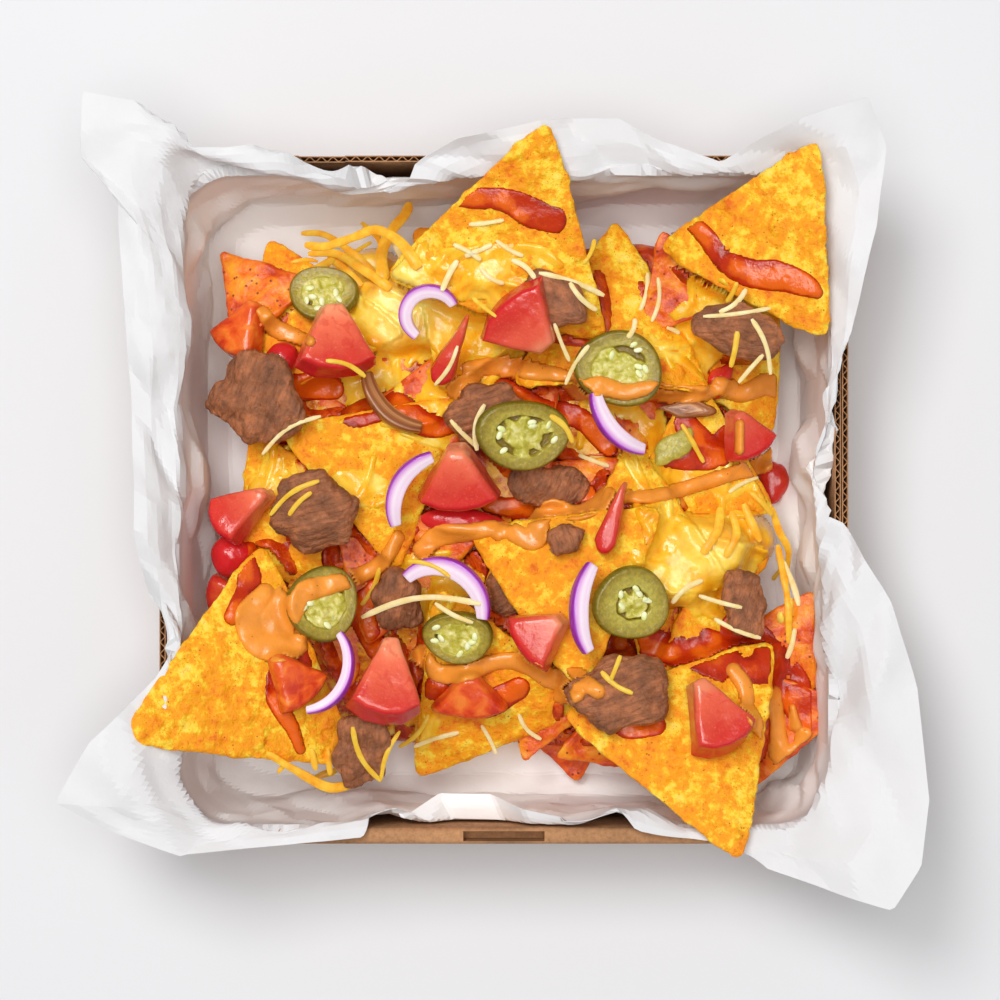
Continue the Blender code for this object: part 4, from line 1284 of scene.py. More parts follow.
class Ground:
    """Heights of the food's upper side on a fine square grid."""

    def __init__(self):
        self.axis = np.arange(-FIELD_HALF, FIELD_HALF + CELL / 2, CELL)
        self.x, self.y = np.meshgrid(self.axis, self.axis, indexing="ij")
        self.flat = np.stack((self.x, self.y, np.zeros_like(self.x)), -1)
        self.height = np.full(self.x.shape, BARE)

    def lay(self, thing):
        """Raises the heights to a piece's upper side."""
        tree = BVHTree.FromObject(thing, bpy.context.evaluated_depsgraph_get())
        points = points_of(thing.data)
        low = np.searchsorted(self.axis, points.min(0)[:2])
        high = np.searchsorted(self.axis, points.max(0)[:2])
        down = Vector((0, 0, -1))
        for i in range(max(low[0], 0), min(high[0], len(self.axis) - 1) + 1):
            for j in range(max(low[1], 0), min(high[1], len(self.axis) - 1) + 1):
                hit = tree.ray_cast(Vector((self.axis[i], self.axis[j], ABOVE)), down)[0]
                if hit is not None and hit.z > self.height[i, j]:
                    self.height[i, j] = hit.z

    def at(self, x, y):
        """The height at a place, between the grid's own."""
        i = np.clip((np.asarray(x) + FIELD_HALF) / CELL, 0, len(self.axis) - 1.001)
        j = np.clip((np.asarray(y) + FIELD_HALF) / CELL, 0, len(self.axis) - 1.001)
        a, b = i.astype(int), j.astype(int)
        s, t = i - a, j - b
        grid = self.height
        return (
            (grid[a, b] * (1 - s) + grid[a + 1, b] * s) * (1 - t)
            + (grid[a, b + 1] * (1 - s) + grid[a + 1, b + 1] * s) * t
        )


def blurred(grid, spread):
    """The grid smoothed over a spread in metres."""
    reach = int(3 * spread / CELL) + 1
    kernel = np.exp(-0.5 * (np.arange(-reach, reach + 1) * CELL / spread) ** 2)
    kernel /= kernel.sum()
    for axis in (0, 1):
        padded = np.pad(grid, [(reach, reach) if k == axis else (0, 0) for k in (0, 1)], mode="edge")
        size = grid.shape[axis]
        pieces = (
            padded[k:k + size] if axis == 0 else padded[:, k:k + size] for k in range(2 * reach + 1)
        )
        grid = sum(weight * piece for weight, piece in zip(kernel, pieces))
    return grid


def lowest_around(grid, reach):
    """The lowest height within a reach of each place."""
    for _ in range(int(reach / CELL)):
        low = grid.copy()
        for axis in (0, 1):
            for step in (-1, 1):
                low = np.minimum(low, np.roll(grid, step, axis))
        grid = low
    return grid


def smooth_line(keys, spacing=0.6 * MM):
    """Places along a smooth curve through the keys, every column of a key carried along."""
    keys = np.array(keys, float)
    padded = np.concatenate((keys[:1] * 2 - keys[1:2], keys, keys[-1:] * 2 - keys[-2:-1]))
    places = []
    for before, first, second, after in zip(padded, padded[1:], padded[2:], padded[3:]):
        count = max(2, int(np.linalg.norm((second - first)[:2]) * MM / spacing))
        t = np.linspace(0, 1, count, endpoint=False)[:, None]
        places.append(0.5 * (
            2 * first + (second - before) * t + (2 * before - 5 * first + 4 * second - after) * t * t
            + (3 * first - before - 3 * second + after) * t ** 3
        ))
    return np.concatenate((*places, keys[-1:])) * MM


def draw_line(depth, ground, keys, height):
    """Draws a bead into a depth grid; each key is x, y and half its width in millimetres."""
    for x, y, radius in smooth_line(keys):
        rise = height * min(1, FULL_BEAD / radius)
        reach = int(radius * 1.5 / CELL) + 1
        i, j = (int(round((place + FIELD_HALF) / CELL)) for place in (x, y))
        window = (slice(max(i - reach, 0), i + reach + 1), slice(max(j - reach, 0), j + reach + 1))
        away = np.hypot(ground.x[window] - x, ground.y[window] - y) / radius
        bead = np.where(
            away < 1, rise * np.sqrt(np.maximum(1 - away ** 2.4, 0)), -(away - 1) * radius * 1.6
        )
        depth[window] = np.maximum(depth[window], bead)


def widened(mask, reach):
    """The mask grown on every side."""
    for _ in range(int(reach / CELL)):
        moved = [np.roll(mask, step, axis) for axis in (0, 1) for step in (1, -1)]
        mask = np.logical_or.reduce((mask, *moved))
    return mask


def pour(name, ground, depth, bed, finish, marks, thickness=1.2 * MM, step=1):
    """A poured layer: its upper side is the bed plus the depth, and it goes under where that is low.

    Step is how many of the grid's squares make one of the layer's.
    """
    top = bed + depth
    showing = top > ground.height
    keep = (top > ground.height - SUNK) & (depth > UNDER)
    body = showing & (depth > BODY_DEPTH) if step == 1 else showing
    keep &= widened(body, ROUND_BODY) & widened(showing, ROUND_BUMPS)
    out = np.maximum(np.abs(ground.x), np.abs(ground.y))
    keep &= (top > PAPER_CREST) | (out < np.where(top > INSIDE_LOW, INSIDE_WALL, INSIDE_FLOOR))
    some = (slice(None, None, step), slice(None, None, step))
    keep, x, y, height = keep[some], ground.x[some], ground.y[some], top[some]
    squares = keep[:-1, :-1] & keep[1:, :-1] & keep[1:, 1:] & keep[:-1, 1:]
    number = np.arange(keep.size).reshape(keep.shape)
    corners = [number[:-1, :-1], number[1:, :-1], number[1:, 1:], number[:-1, 1:]]
    faces = np.stack([corner[squares] for corner in corners], 1)
    used, renumbered = np.unique(faces, return_inverse=True)
    points = np.stack((x.ravel(), y.ravel(), height.ravel()), 1)[used]
    mesh = bpy.data.meshes.new(name)
    mesh.from_pydata(points.tolist(), [], renumbered.reshape(faces.shape).tolist())
    store(mesh, **{mark: grid[some].ravel()[used] for mark, grid in marks.items()})
    layer = add_object(name, mesh)
    apply_modifier(layer, "SOLIDIFY", thickness=thickness, offset=-1)
    finish_piece(layer, finish, "heap", smooth=180)
    places = np.zeros(keep.shape, bool)
    for corner in corners:
        places.ravel()[corner[squares]] = True
    places = np.kron(places, np.ones((step, step), bool))[:top.shape[0], :top.shape[1]]
    ground.height = np.where(places, np.maximum(ground.height, top), ground.height)


# Melted cheese: the middle, two reaches and turn of each patch in millimetres and degrees, and its depth.
CHEESE_PATCHES = (
    (-30, 58, 22, 15, -10, 1.2), (-12, 46, 20, 13, -30, 1.2), (0, 60, 13, 7, 15, 1.0),
    (60, -18, 15, 16, 0, 1.2), (43, -14, 11, 13, 40, 0.9), (-60, 4, 10, 8, 30, 0.6),
    (-17, 24, 11, 9, 20, 0.9), (-22, -22, 12, 9, 0, 0.9), (50, 44, 12, 10, 0, 0.5),
    (30, 20, 12, 8, -20, 0.7), (48, 8, 14, 8, 20, 0.8), (-34, 30, 12, 7, -20, 0.8),
    (-22, -62, 10, 7, 10, 0.6), (-38, 4, 10, 6, -40, 0.6), (62, 4, 14, 4, 10, 0.8),
)
# Smooth, thick pools of it, in the same way.
CHEESE_POOLS = (
    (-34, 59, 14, 9, -20, 1.6), (-28, 51, 12, 12, 0, 2.4), (-19, 47, 9, 8, 0, 1.8),
    (54, -13, 12, 9, 0, 1.8),
    (46, -20, 8, 8, 0, 1.4), (-4, 58, 6, 4, 20, 1.0), (66, -10, 9, 7, -20, 1.2), (-13, -22, 7, 5, 0, 1.2),
)
# Strands that reach out of it: x, y and half the width of each place in millimetres.
CHEESE_STRANDS = (
    ((-55, 72.5, 0.8), (-50, 72.3, 0.9), (-46, 70.5, 0.9), (-40, 65.8, 1.1), (-34, 60, 1.2)),
    ((-38.6, 75.2, 0.7), (-35, 72, 0.8), (-33.3, 69.4, 0.9), (-32, 62, 1.0)),
    ((-25.3, 80, 1.4), (-26.5, 76.8, 1.5), (-30.1, 72, 1.5), (-32.5, 66, 1.7), (-32, 58, 1.8)),
    ((-52.5, 67.3, 1.1), (-47, 66.8, 1.2), (-39, 68.9, 1.3), (-33.3, 70.5, 1.3), (-27, 67, 1.5),
     (-22, 60, 1.6)),
    ((-52.5, 66.2, 1.0), (-45, 66, 1.2), (-38, 61.7, 1.4), (-30, 56, 1.4)),
    ((-47, 65.5, 1.1), (-43, 62, 1.3), (-38, 57, 1.3)), ((-54.6, 59.3, 0.9), (-50, 62, 1.0),
     (-45, 65, 1.1)),
    ((-57, 63.8, 0.6), (-53, 64.6, 0.6), (-50, 64.2, 0.6)),
    ((-61.4, -65.4, 0.9), (-54.6, -70, 1.1), (-47, -74.7, 1.3), (-42.9, -75.2, 1.3), (-38, -74, 1.0)),
    ((-52.5, -77.4, 1.1), (-49.5, -75.6, 1.2), (-46, -74.4, 1.2)), ((-58.8, -71, 0.7), (-56.5, -68, 0.8)),
    ((-50.2, -64.7, 0.9), (-49.1, -70.5, 0.9)), ((-46, -65, 0.8), (-45.5, -72, 0.8)),
    ((64, -1, 1.1), (66, -6, 1.2), (68.5, -11, 1.1)), ((57, -2, 1.1), (56, -8, 1.2), (52, -14, 1.4)),
    ((72, -2, 0.9), (74, -8, 1.0), (77, -14, 0.9), (76, -22, 0.9)), ((60, -3, 1.2), (61, -9, 1.1),
     (58, -15, 1.2)),
    ((73, -12, 0.9), (75, -26, 1.0), (75.5, -38, 0.8)),
)
# Cream sauce lines: x, y and half the width of each place in millimetres.
CREAM_LINES = (
    ((-9, 35, 1.8), (-2, 35.5, 2.3), (7, 34, 2.4), (15, 32.5, 2.0), (20, 29, 2.2), (25, 29.5, 2.6),
     (31.5, 28, 2.2),
     (38, 29, 2.0), (45, 28, 2.2), (51, 28, 2.2), (58, 29, 1.8), (64, 28.5, 2.3), (71, 31, 3.0),
     (77, 28, 3.4),
     (76, 21, 3.0), (78, 13, 2.4)),
    ((77, 14, 2.4), (70, 9, 2.2), (63, 7.5, 1.9), (56, 5.5, 2.0), (46, 2.5, 1.9), (38, 1.0, 1.7),
     (32, 1, 1.5)),
    ((27, 2, 1.7), (24, -1.5, 2.1), (19, -3.4, 2.1), (13, -2.2, 2.4), (9.5, -5, 2.5), (8, -10, 3.0),
     (4.5, -9.5, 2.6),
     (0, -7, 2.5), (-1.5, -8.5, 2.2)),
    ((-28, -10, 1.7), (-31, -15, 2.0), (-37, -19.5, 2.2), (-45, -22, 2.5), (-53, -24, 3.4),
     (-57, -28, 5.4), (-61, -33, 5.4)),
    ((-62, -24, 2.4), (-66, -30, 3.4), (-63, -37, 3.8), (-56, -38, 3.4), (-52, -37, 2.2)),
    ((-22, -13, 2.2), (-17, -9.5, 2.8), (-9, -8.5, 2.4), (-2, -7, 2.1)),
    ((-22, -41, 2.2), (-17, -46, 2.4), (-9, -45, 2.3), (0, -42.5, 2.2), (7, -44, 2.5), (13, -47.5, 2.8),
     (19, -46, 2.4),
     (24, -49, 2.0)),
    ((19, -50, 1.6), (15, -52, 2.0)), ((-64, 50, 1.6), (-61, 46, 2.4), (-56, 44, 2.0), (-50, 41, 1.4)),
    ((60, -44.5, 2.0), (62.5, -48, 2.2), (63.5, -52, 1.8)), ((63, -53.5, 1.8), (65, -57, 2.1),
     (67.5, -61, 1.6)),
    ((72, -51, 1.6), (72.5, -57, 2.0), (73, -63, 2.4), (74, -68, 3.0), (79, -67, 3.2), (80, -63, 2.6)),
    ((76.5, -55, 0.9), (77.5, -60, 1.6)), ((57, 31, 1.8), (61, 30, 2.2)), ((-13, 29, 2.0), (-8, 33, 2.0)),
    ((62, 20, 1.2), (62, 13, 1.2)),
)
# Red sauce strips on the two back chips and pools on the others, in the same way.
SAUCE_LINES = (
    ((-12, 78, 2.4), (-7, 77.5, 2.8), (0, 77, 3.0), (7, 74, 3.8), (13, 72, 3.4)),
    ((48, 72.5, 1.8), (52, 68.5, 2.4), (57, 62, 3.0), (63, 58.5, 3.8), (70, 57.5, 3.8), (77, 55, 2.8),
     (80, 53, 1.6)),
    ((-52, -41, 4.4), (-57, -46, 4.6), (-58, -53, 2.8), (-55, -59, 1.8), (-53, -65, 1.3)),
    ((-40, 22, 3.6), (-30, 25, 4.0), (-20, 20, 3.4), (-10, 22, 3.0)),
    ((0, 30, 2.6), (10, 24, 3.0), (20, 22, 3.0), (28, 14, 2.2)),
    ((44, 12, 3.6), (54, 12, 4.0), (62, 18, 3.6)),
    ((34, -33, 3.4), (40, -37, 5.0), (48, -38, 5.6), (56, -41, 6.0), (64, -44, 5.4)),
    ((62, -34, 4.6), (69, -40, 5.4), (74, -47, 5.6), (79, -54, 5.0), (81, -60, 3.4)),
    ((-46, 30, 3.0), (-56, 30, 3.4), (-62, 24, 2.4)), ((26, -56, 2.6), (32, -58, 3.6), (39, -58, 3.0)),
    ((-20, -50, 3.0), (-12, -52, 3.6), (-4, -54, 4.0), (4, -50, 3.0)), ((-4, -1, 2.4), (6, -2, 2.8),
     (22, 2, 2.2)),
    ((-68, -14, 3.0), (-66, -22, 3.2), (-70, -30, 2.2)), ((-34, -40, 3.0), (-38, -30, 3.4),
     (-34, -24, 3.0)),
    ((58, 12, 3.0), (50, 18, 3.4), (46, 24, 2.8)),
)


def melt_finish():
    finish = Finish("melted_filling", 0.22)
    sauce = tuple(colours().sauce)
    cheese = tuple(colours().cheese)
    clouds = finish.noise(5 * MM, 5, 0.6, 0.8)
    red = finish.ramp(
        clouds, (0.3, tint(sauce, 0.55)), (0.48, sauce), (0.6, srgb(224, 92, 20)),
        (0.74, srgb(238, 138, 34)),
    )
    yellow = finish.ramp(clouds, (0.3, srgb(236, 140, 24)), (0.5, cheese), (0.7, srgb(252, 208, 96)))
    uneven = finish.math("SUBTRACT", finish.noise(3.4 * MM, 4), 0.5)
    share = finish.plus(finish.attribute("cheese"), uneven, 1.1)
    base = finish.mix(finish.ramp(share, (0.4, 0.0), (0.62, 1.0)), red, yellow)
    soft_inside(finish, (2.2, 0.9, 0.25), 0.3)
    return finish.done(base, finish.bump(finish.noise(1.6 * MM, 5, 0.6), 0.4 * MM))


def cheese_finish():
    finish = Finish("melted_cheese", 0.2)
    cheese = tuple(colours().cheese)
    clouds = finish.noise(9 * MM, 4, 0.55, 0.8)
    base = finish.ramp(
        clouds, (0.3, srgb(240, 146, 18)), (0.45, cheese), (0.6, srgb(255, 204, 62)),
        (0.74, srgb(255, 228, 120)),
    )
    pale = finish.ramp(finish.noise(6 * MM, 3), (0.35, 0.2), (0.6, 0.9))
    pale = finish.math("MULTIPLY", finish.attribute("thick"), pale)
    base = finish.mix(pale, base, srgb(255, 232, 120))
    soft_inside(finish, (2.4, 1.4, 0.4), 0.4)
    return finish.done(base, finish.bump(finish.noise(2.2 * MM, 3, 0.55), 0.25 * MM))


def cream_finish():
    finish = Finish("cream_sauce", 0.25)
    cream = tuple(colours().cream)
    base = finish.ramp(finish.noise(5 * MM, 4), (0.35, tint(cream, 0.92)), (0.65, tint(cream, 1.08)))
    specks = finish.ramp(finish.cells(2.1 * MM), (0.06, 1.0), (0.12, 0.0))
    some = finish.ramp(finish.noise(4 * MM, 2), (0.45, 0.0), (0.55, 0.9))
    base = finish.mix(finish.math("MULTIPLY", specks, some), base, srgb(178, 74, 22))
    soft_inside(finish, (1.2, 1.0, 0.6), 0.25)
    return finish.done(base, finish.bump(finish.noise(1.6 * MM, 3), 0.12 * MM))


def sauce_finish():
    finish = Finish("red_sauce", 0.2, specular=0.35)
    sauce = tuple(colours().sauce)
    uneven = finish.math("SUBTRACT", finish.noise(3 * MM, 4, 0.6, 0.6), 0.5)
    thick = finish.plus(finish.attribute("thick"), uneven, 0.7)
    base = finish.ramp(
        thick, (0.1, srgb(150, 30, 6)), (0.35, srgb(184, 44, 6)), (0.6, sauce),
        (0.9, srgb(226, 98, 14)),
    )
    soft_inside(finish, (1.4, 0.5, 0.2), 0.18)
    return finish.done(base, finish.bump(finish.noise(2.0 * MM, 4, 0.6), 0.3 * MM))


# The core: how much narrower and lower than the heap it is, and the height that it stands on.
CORE_NARROW = 0.93
CORE_LOW = 0.86
CORE_FLOOR = 3 * MM
# The filling lies this far below its smoothed top, never higher than this over the lowest place
# near by, and up to this far up under a topping.
FILLING_DROP = 1.0 * MM
FILLING_RISE = 4.5 * MM
FILLING_SUPPORT = 16 * MM
TOPPING_NODES = ("steak", "tomato", "pepper", "onion", "cooked")


def patch_share(ground, x, y, long, wide, turn):
    """One at a patch's middle, nought at its rim and below nought outside."""
    along, across = turned_flat(ground.x / MM - x, ground.y / MM - y, turn)
    return 1 - (along / long) ** 2 - (across / wide) ** 2


def make_core():
    """The low mound of sauce and cheese in the middle of the heap."""
    core = copy_of("nacho_heap", "filling_core")
    points = points_of(core.data)
    points[:, :2] *= CORE_NARROW
    points[:, 2] = np.maximum((points[:, 2] - CORE_FLOOR) * CORE_LOW + CORE_FLOOR, CORE_FLOOR)
    set_points(core.data, points)
    subdivide(core, 3)
    swell(core, ((14 * MM, 1.0 * MM), (6 * MM, 0.7 * MM), (2.5 * MM, 0.3 * MM)), 9)
    store(core.data, cheese=wave(points_of(core.data), 22 * MM, 5) * 0.5 + 0.45)
    finish_piece(core, melt_finish(), "heap", "nacho_heap", smooth=180)
    CHIPS.append(core)


def undersides(ground):
    """The lowest height of the toppings over each place, and nought where there are none."""
    under = np.zeros(ground.height.shape)
    for name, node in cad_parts.items():
        if not name.startswith(TOPPING_NODES):
            continue
        tree = BVHTree.FromObject(node, bpy.context.evaluated_depsgraph_get())
        points = points_of(node.data)
        low = np.searchsorted(ground.axis, points.min(0)[:2])
        high = np.searchsorted(ground.axis, points.max(0)[:2])
        one = np.zeros(under.shape)
        for i in range(low[0], high[0]):
            for j in range(low[1], high[1]):
                hit = tree.ray_cast(Vector((ground.axis[i], ground.axis[j], 0)), Vector((0, 0, 1)))[0]
                one[i, j] = hit.z if hit else 0
        inside = lowest_around(one, 2.5 * MM) > 0
        under = np.where(inside & ((under == 0) | (one < under)), one, under)
    return under


def make_filling():
    """Sauce and cheese that have run into the gaps between the chips and under what lies on them."""
    make_core()
    ground = Ground()
    for thing in CHIPS:
        ground.lay(thing)
    low = lowest_around(ground.height, 3.5 * MM)
    top = np.minimum(blurred(ground.height, 2.4 * MM), blurred(low, 1.2 * MM) + FILLING_RISE)
    top += wave(ground.flat, 6 * MM, 3) * 0.7 * MM + wave(ground.flat, 2.6 * MM, 4) * 0.3 * MM
    top -= FILLING_DROP
    under = undersides(ground)
    lift = np.clip(under + 0.3 * MM - top, 0, FILLING_SUPPORT) * (under > 0)
    top += blurred(lift, 0.9 * MM)
    covered = smooth_step(blurred(low, 1.5 * MM), 6 * MM, 10 * MM)
    covered = np.where(under > 0, 1.0, covered)
    depth = np.where(covered > 0.5, 0.0, -2 * MM)
    zones = np.max([patch_share(ground, *patch[:5]) for patch in CHEESE_PATCHES], 0)
    marks = {"cheese": np.clip(0.25 + 0.6 * zones, 0, 1)}
    pour("melted_filling", ground, depth, top, FINISHES["melted_filling"], marks, step=2)
    GROUNDS.append(ground)


def make_cheese():
    """The melted cheese in patches, pools and strands over the chips."""
    ground = GROUNDS[-1]
    draw = random.Random(8)
    depth = np.full(ground.height.shape, NOWHERE)
    ripple = wave(ground.flat, 5 * MM, 21) * 0.55 + wave(ground.flat, 2.2 * MM, 22) * 0.3
    for x, y, long, wide, turn, thick in CHEESE_PATCHES:
        share = patch_share(ground, x, y, long, wide, turn)
        film = (np.clip(share, -1, 0.5) * 1.6 - 0.55 + ripple) * thick
        depth = np.maximum(depth, film * MM)
        for _ in range(int(long * wide / 20)):
            out, way = math.sqrt(draw.random()), draw.uniform(0, 2 * math.pi)
            px, py = x + long * out * math.cos(way), y + wide * out * math.sin(way)
            run, bearing = draw.uniform(4, 8), draw.uniform(0, math.pi)
            bend = draw.uniform(-0.7, 0.7)
            dx, dy = math.cos(bearing) * run, math.sin(bearing) * run
            radius = draw.uniform(0.7, 1.15)
            start = (px - dx, py - dy, radius)
            middle = (px + dy * bend * 0.4, py - dx * bend * 0.4, radius * 1.15)
            end = (px + dx, py + dy, radius * 0.9)
            draw_line(depth, ground, (start, middle, end), (0.5 + 0.5 * draw.random()) * 1.1 * MM)
    covered = lowest_around(ground.height, 1 * MM) > 5 * MM
    close = ground.height * 0.55 + blurred(ground.height, 0.7 * MM) * 0.45
    bed = np.maximum(blurred(ground.height, 1.3 * MM), close)
    lift = np.zeros(bed.shape)
    for x, y, long, wide, turn, thick in CHEESE_POOLS:
        share = patch_share(ground, x, y, long, wide, turn) + ripple * 0.3
        level = np.percentile(ground.height[share > 0.2], 78)
        covered |= share > -0.15
        lift = np.maximum(lift, np.clip(level - bed, 0, 14 * MM) * smooth_step(share, -0.15, 0.5))
        pool = np.where(share > 0, thick * np.sqrt(np.clip(share, 0, 1)), share * 4)
        depth = np.maximum(depth, pool * MM)
    bed = bed + blurred(lift, 0.9 * MM)
    depth = np.where(covered, depth, -2 * MM)
    marks = {"thick": smooth_step(blurred(depth, 0.8 * MM), 0.8 * MM, 2.2 * MM)}
    pour("melted_cheese", ground, depth, bed, cheese_finish(), marks, thickness=2.0 * MM)
    rings = []
    for order, keys in enumerate(CHEESE_STRANDS):
        line = smooth_line(keys, 1.2 * MM)
        rings.append(tube_rings(ground, line[:, :2], line[:, 2], 90 + order, flat=0.7))
    finish = shred_finish("cheese_strands", srgb(244, 162, 22), srgb(255, 206, 66))
    shreds_mesh("cheese_strands", rings, finish)


def make_sauces():
    """The red sauce in strips and pools on the chips, then the cream sauce piped over everything."""
    ground = GROUNDS[-1]
    for name, lines, height, finish in (
        ("red_sauce", SAUCE_LINES, 1.0 * MM, sauce_finish()),
        ("cream_sauce", CREAM_LINES, settings().cream_height, cream_finish()),
    ):
        if name == "cream_sauce":
            for thing in TOPPINGS:
                ground.lay(thing)
        depth = np.full(ground.height.shape, NOWHERE)
        for line in lines:
            draw_line(depth, ground, line, height)
        bed = np.maximum(blurred(ground.height, 1.1 * MM), blurred(ground.height, 0.5 * MM))
        if name == "red_sauce":
            ragged = wave(ground.flat, 4 * MM, 51) * 0.35 + wave(ground.flat, 8 * MM, 52) * 0.35
            depth = depth + ragged * MM * smooth_step(depth, -1.6 * MM, -0.4 * MM)
        marks = {"thick": smooth_step(depth, -0.1 * MM, 0.9 * MM)}
        pour(name, ground, depth, bed, finish, marks, thickness=0.8 * MM)


# Shreds of cheese: their ends in millimetres, x and y, and whether they are pale.
SHREDS = (
    (9, 58.5, 26, 53, 1), (17, 56, 24, 49, 1), (51, 47, 68, 49, 1), (63, 46, 68, 32, 1),
    (59.5, 43, 58, 34, 0),
    (60, 56, 57.5, 51, 0), (13, 45.5, 17, 36, 1), (40.5, 58.5, 39, 47, 1), (23.5, 67.5, 20.5, 61, 0),
    (43, 45.5, 46.5, 44, 1),
    (-14, 21, -7, 14, 1), (-5, 25, -7, 13, 1), (-63.5, 12, -48, 22, 1), (-48, 5, -61, -4, 0),
    (-37.5, -31, -6, -27, 1),
    (51, -25, 62, -28, 1), (55, -31, 67, -36, 1), (25, -44, 33, -49.5, 0), (-39, -58.5, -32, -73, 0),
    (-32, -73, -27, -60, 0),
    (-9, 71, 0, 72, 1), (-10, 63, -3, 66, 1), (-6, 60, 0, 56, 1), (2, 62, 8, 57, 1),
    (74, -16, 78, -28, 1), (76, -26, 76, -38, 0),
    (77, -34, 75, -42, 1), (78, -18, 74, -22, 0), (-42, 66, -36, 70, 0), (-30, 70, -27, 64, 1),
    (-12, 40, -18, 30, 1),
    (47, 20, 53, 10, 0), (20, 12, 28, 9, 1), (-56, -4, -50, 2, 0), (60, 30, 66, 37, 1),
    (-8, -32, -18, -27, 1),
    (-2, 67, 5, 63, 1), (-13, 66, -6, 62, 1), (-8, 52, -2, 47, 0), (22, 40, 16, 30, 1),
    (34, 47, 32, 42, 1),
    (-46, 36, -36, 32, 0), (-25, -16, -14, -20, 0), (-38, -28, -33, -18, 0), (44, -27, 52, -21, 1),
    (68, 6, 60, 2, 1),
    (-12, 62, -16, 54, 1), (4, -57, 10, -64, 1), (-6, -60, -2, -68, 1), (12, 22, 18, 15, 0),
    (55, 48, 62, 54, 1),
    (38, 60, 36, 50, 1), (66, 2, 72, -4, 0), (30, -40, 27, -47, 0), (-24, -66, -12, -62, 1),
    (-20, -57, -28, -66, 0),
)
SHRED_PLACES = 12
SHRED_SIDES = 8
# How steeply a strand may go down past an edge, and how much thinner its ends are.
SHRED_SAG = 0.4
SHRED_ENDS = 0.6
# How unevenly wide and how far bent the shreds are.
SHRED_WIDTHS = (0.85, 1.25)
SHRED_BENDS = (-0.12, 0.12)


def tube_rings(ground, line, radius, seed, flat=0.62):
    """Rings round a strand that lies on the food and sags only gently past its edges."""
    rest = ground.at(line[:, 0], line[:, 1])
    step = np.linalg.norm(np.diff(line, axis=0), axis=1) * SHRED_SAG
    for k in range(1, len(rest)):
        rest[k] = max(rest[k], rest[k - 1] - step[k - 1])
    for k in reversed(range(len(rest) - 1)):
        rest[k] = max(rest[k], rest[k + 1] - step[k])
    reach = np.convolve(np.pad(rest, 2, mode="edge"), np.ones(5) / 5, "valid")
    height = np.maximum(reach, rest * 0.7 + reach * 0.3) + radius * 0.4
    line = np.column_stack((line, height))
    way = np.gradient(line, axis=0)
    way /= np.linalg.norm(way, axis=1)[:, None]
    side = np.cross(way, (0, 0, 1))
    side /= np.linalg.norm(side, axis=1)[:, None]
    up = np.cross(side, way)
    angle = np.linspace(0, 2 * math.pi, SHRED_SIDES, endpoint=False) + math.pi / 8
    thick = radius * (1 + 0.16 * wave(line, 3 * MM, seed))
    thick[[0, -1]] *= SHRED_ENDS
    across = np.cos(angle)[None, :, None] * side[:, None, :] * thick[:, None, None]
    rise = np.sin(angle)[None, :, None] * up[:, None, :] * thick[:, None, None] * flat
    return line[:, None, :] + across + rise


def shred_rings(ground, x0, y0, x1, y1, width, bend, seed):
    """Rings round a bent shred between two places."""
    share = np.linspace(0, 1, SHRED_PLACES)
    start, end = np.array((x0, y0)) * MM, np.array((x1, y1)) * MM
    run = end - start
    aside = np.array((-run[1], run[0]))
    line = start + share[:, None] * run + np.sin(share * math.pi)[:, None] * aside * bend
    return tube_rings(ground, line, np.full(SHRED_PLACES, width / 2), seed)


def shreds_mesh(name, rings, finish):
    """One piece of many shreds: each a tube with closed ends."""
    points, faces = [], []
    for ring in rings:
        base = len(points)
        points += ring.reshape(-1, 3).tolist()
        for k in range(len(ring) - 1):
            for side in range(SHRED_SIDES):
                after = (side + 1) % SHRED_SIDES
                low = base + k * SHRED_SIDES
                high = low + SHRED_SIDES
                faces.append((low + side, low + after, high + after, high + side))
        last = base + (len(ring) - 1) * SHRED_SIDES
        faces.append([base + side for side in reversed(range(SHRED_SIDES))])
        faces.append([last + side for side in range(SHRED_SIDES)])
    mesh = bpy.data.meshes.new(name)
    mesh.from_pydata(points, [], faces)
    thing = add_object(name, mesh)
    with editing():
        bpy.ops.mesh.normals_make_consistent(inside=False)
    finish_piece(thing, finish, "heap", smooth=50)


def shred_finish(name, low, high):
    finish = Finish(name, 0.38, specular=0.4)
    base = finish.ramp(finish.noise(3 * MM, 4), (0.3, low), (0.7, high))
    soft_inside(finish, (1.6, 1.2, 0.5), 0.3)
    return finish.done(base, finish.bump(finish.noise(0.8 * MM, 3), 0.08 * MM))


def make_shreds():
    """Unmelted shreds of pale and yellow cheese on top."""
    ground = GROUNDS[-1]
    draw = random.Random(12)
    rings = {0: [], 1: []}
    for order, (x0, y0, x1, y1, pale) in enumerate(SHREDS):
        width = settings().shred_width * draw.uniform(*SHRED_WIDTHS)
        bend = draw.uniform(*SHRED_BENDS)
        rings[pale].append(shred_rings(ground, x0, y0, x1, y1, width, bend, order))
    for name, pale, low, high in (
        ("pale", 1, srgb(236, 206, 132), srgb(248, 230, 178)),
        ("yellow", 0, srgb(232, 176, 34), srgb(244, 204, 74)),
    ):
        shreds_mesh(f"shreds_{name}", rings[pale], shred_finish(f"{name}_shreds", low, high))


# ---------------------------------------------------------------- small pieces

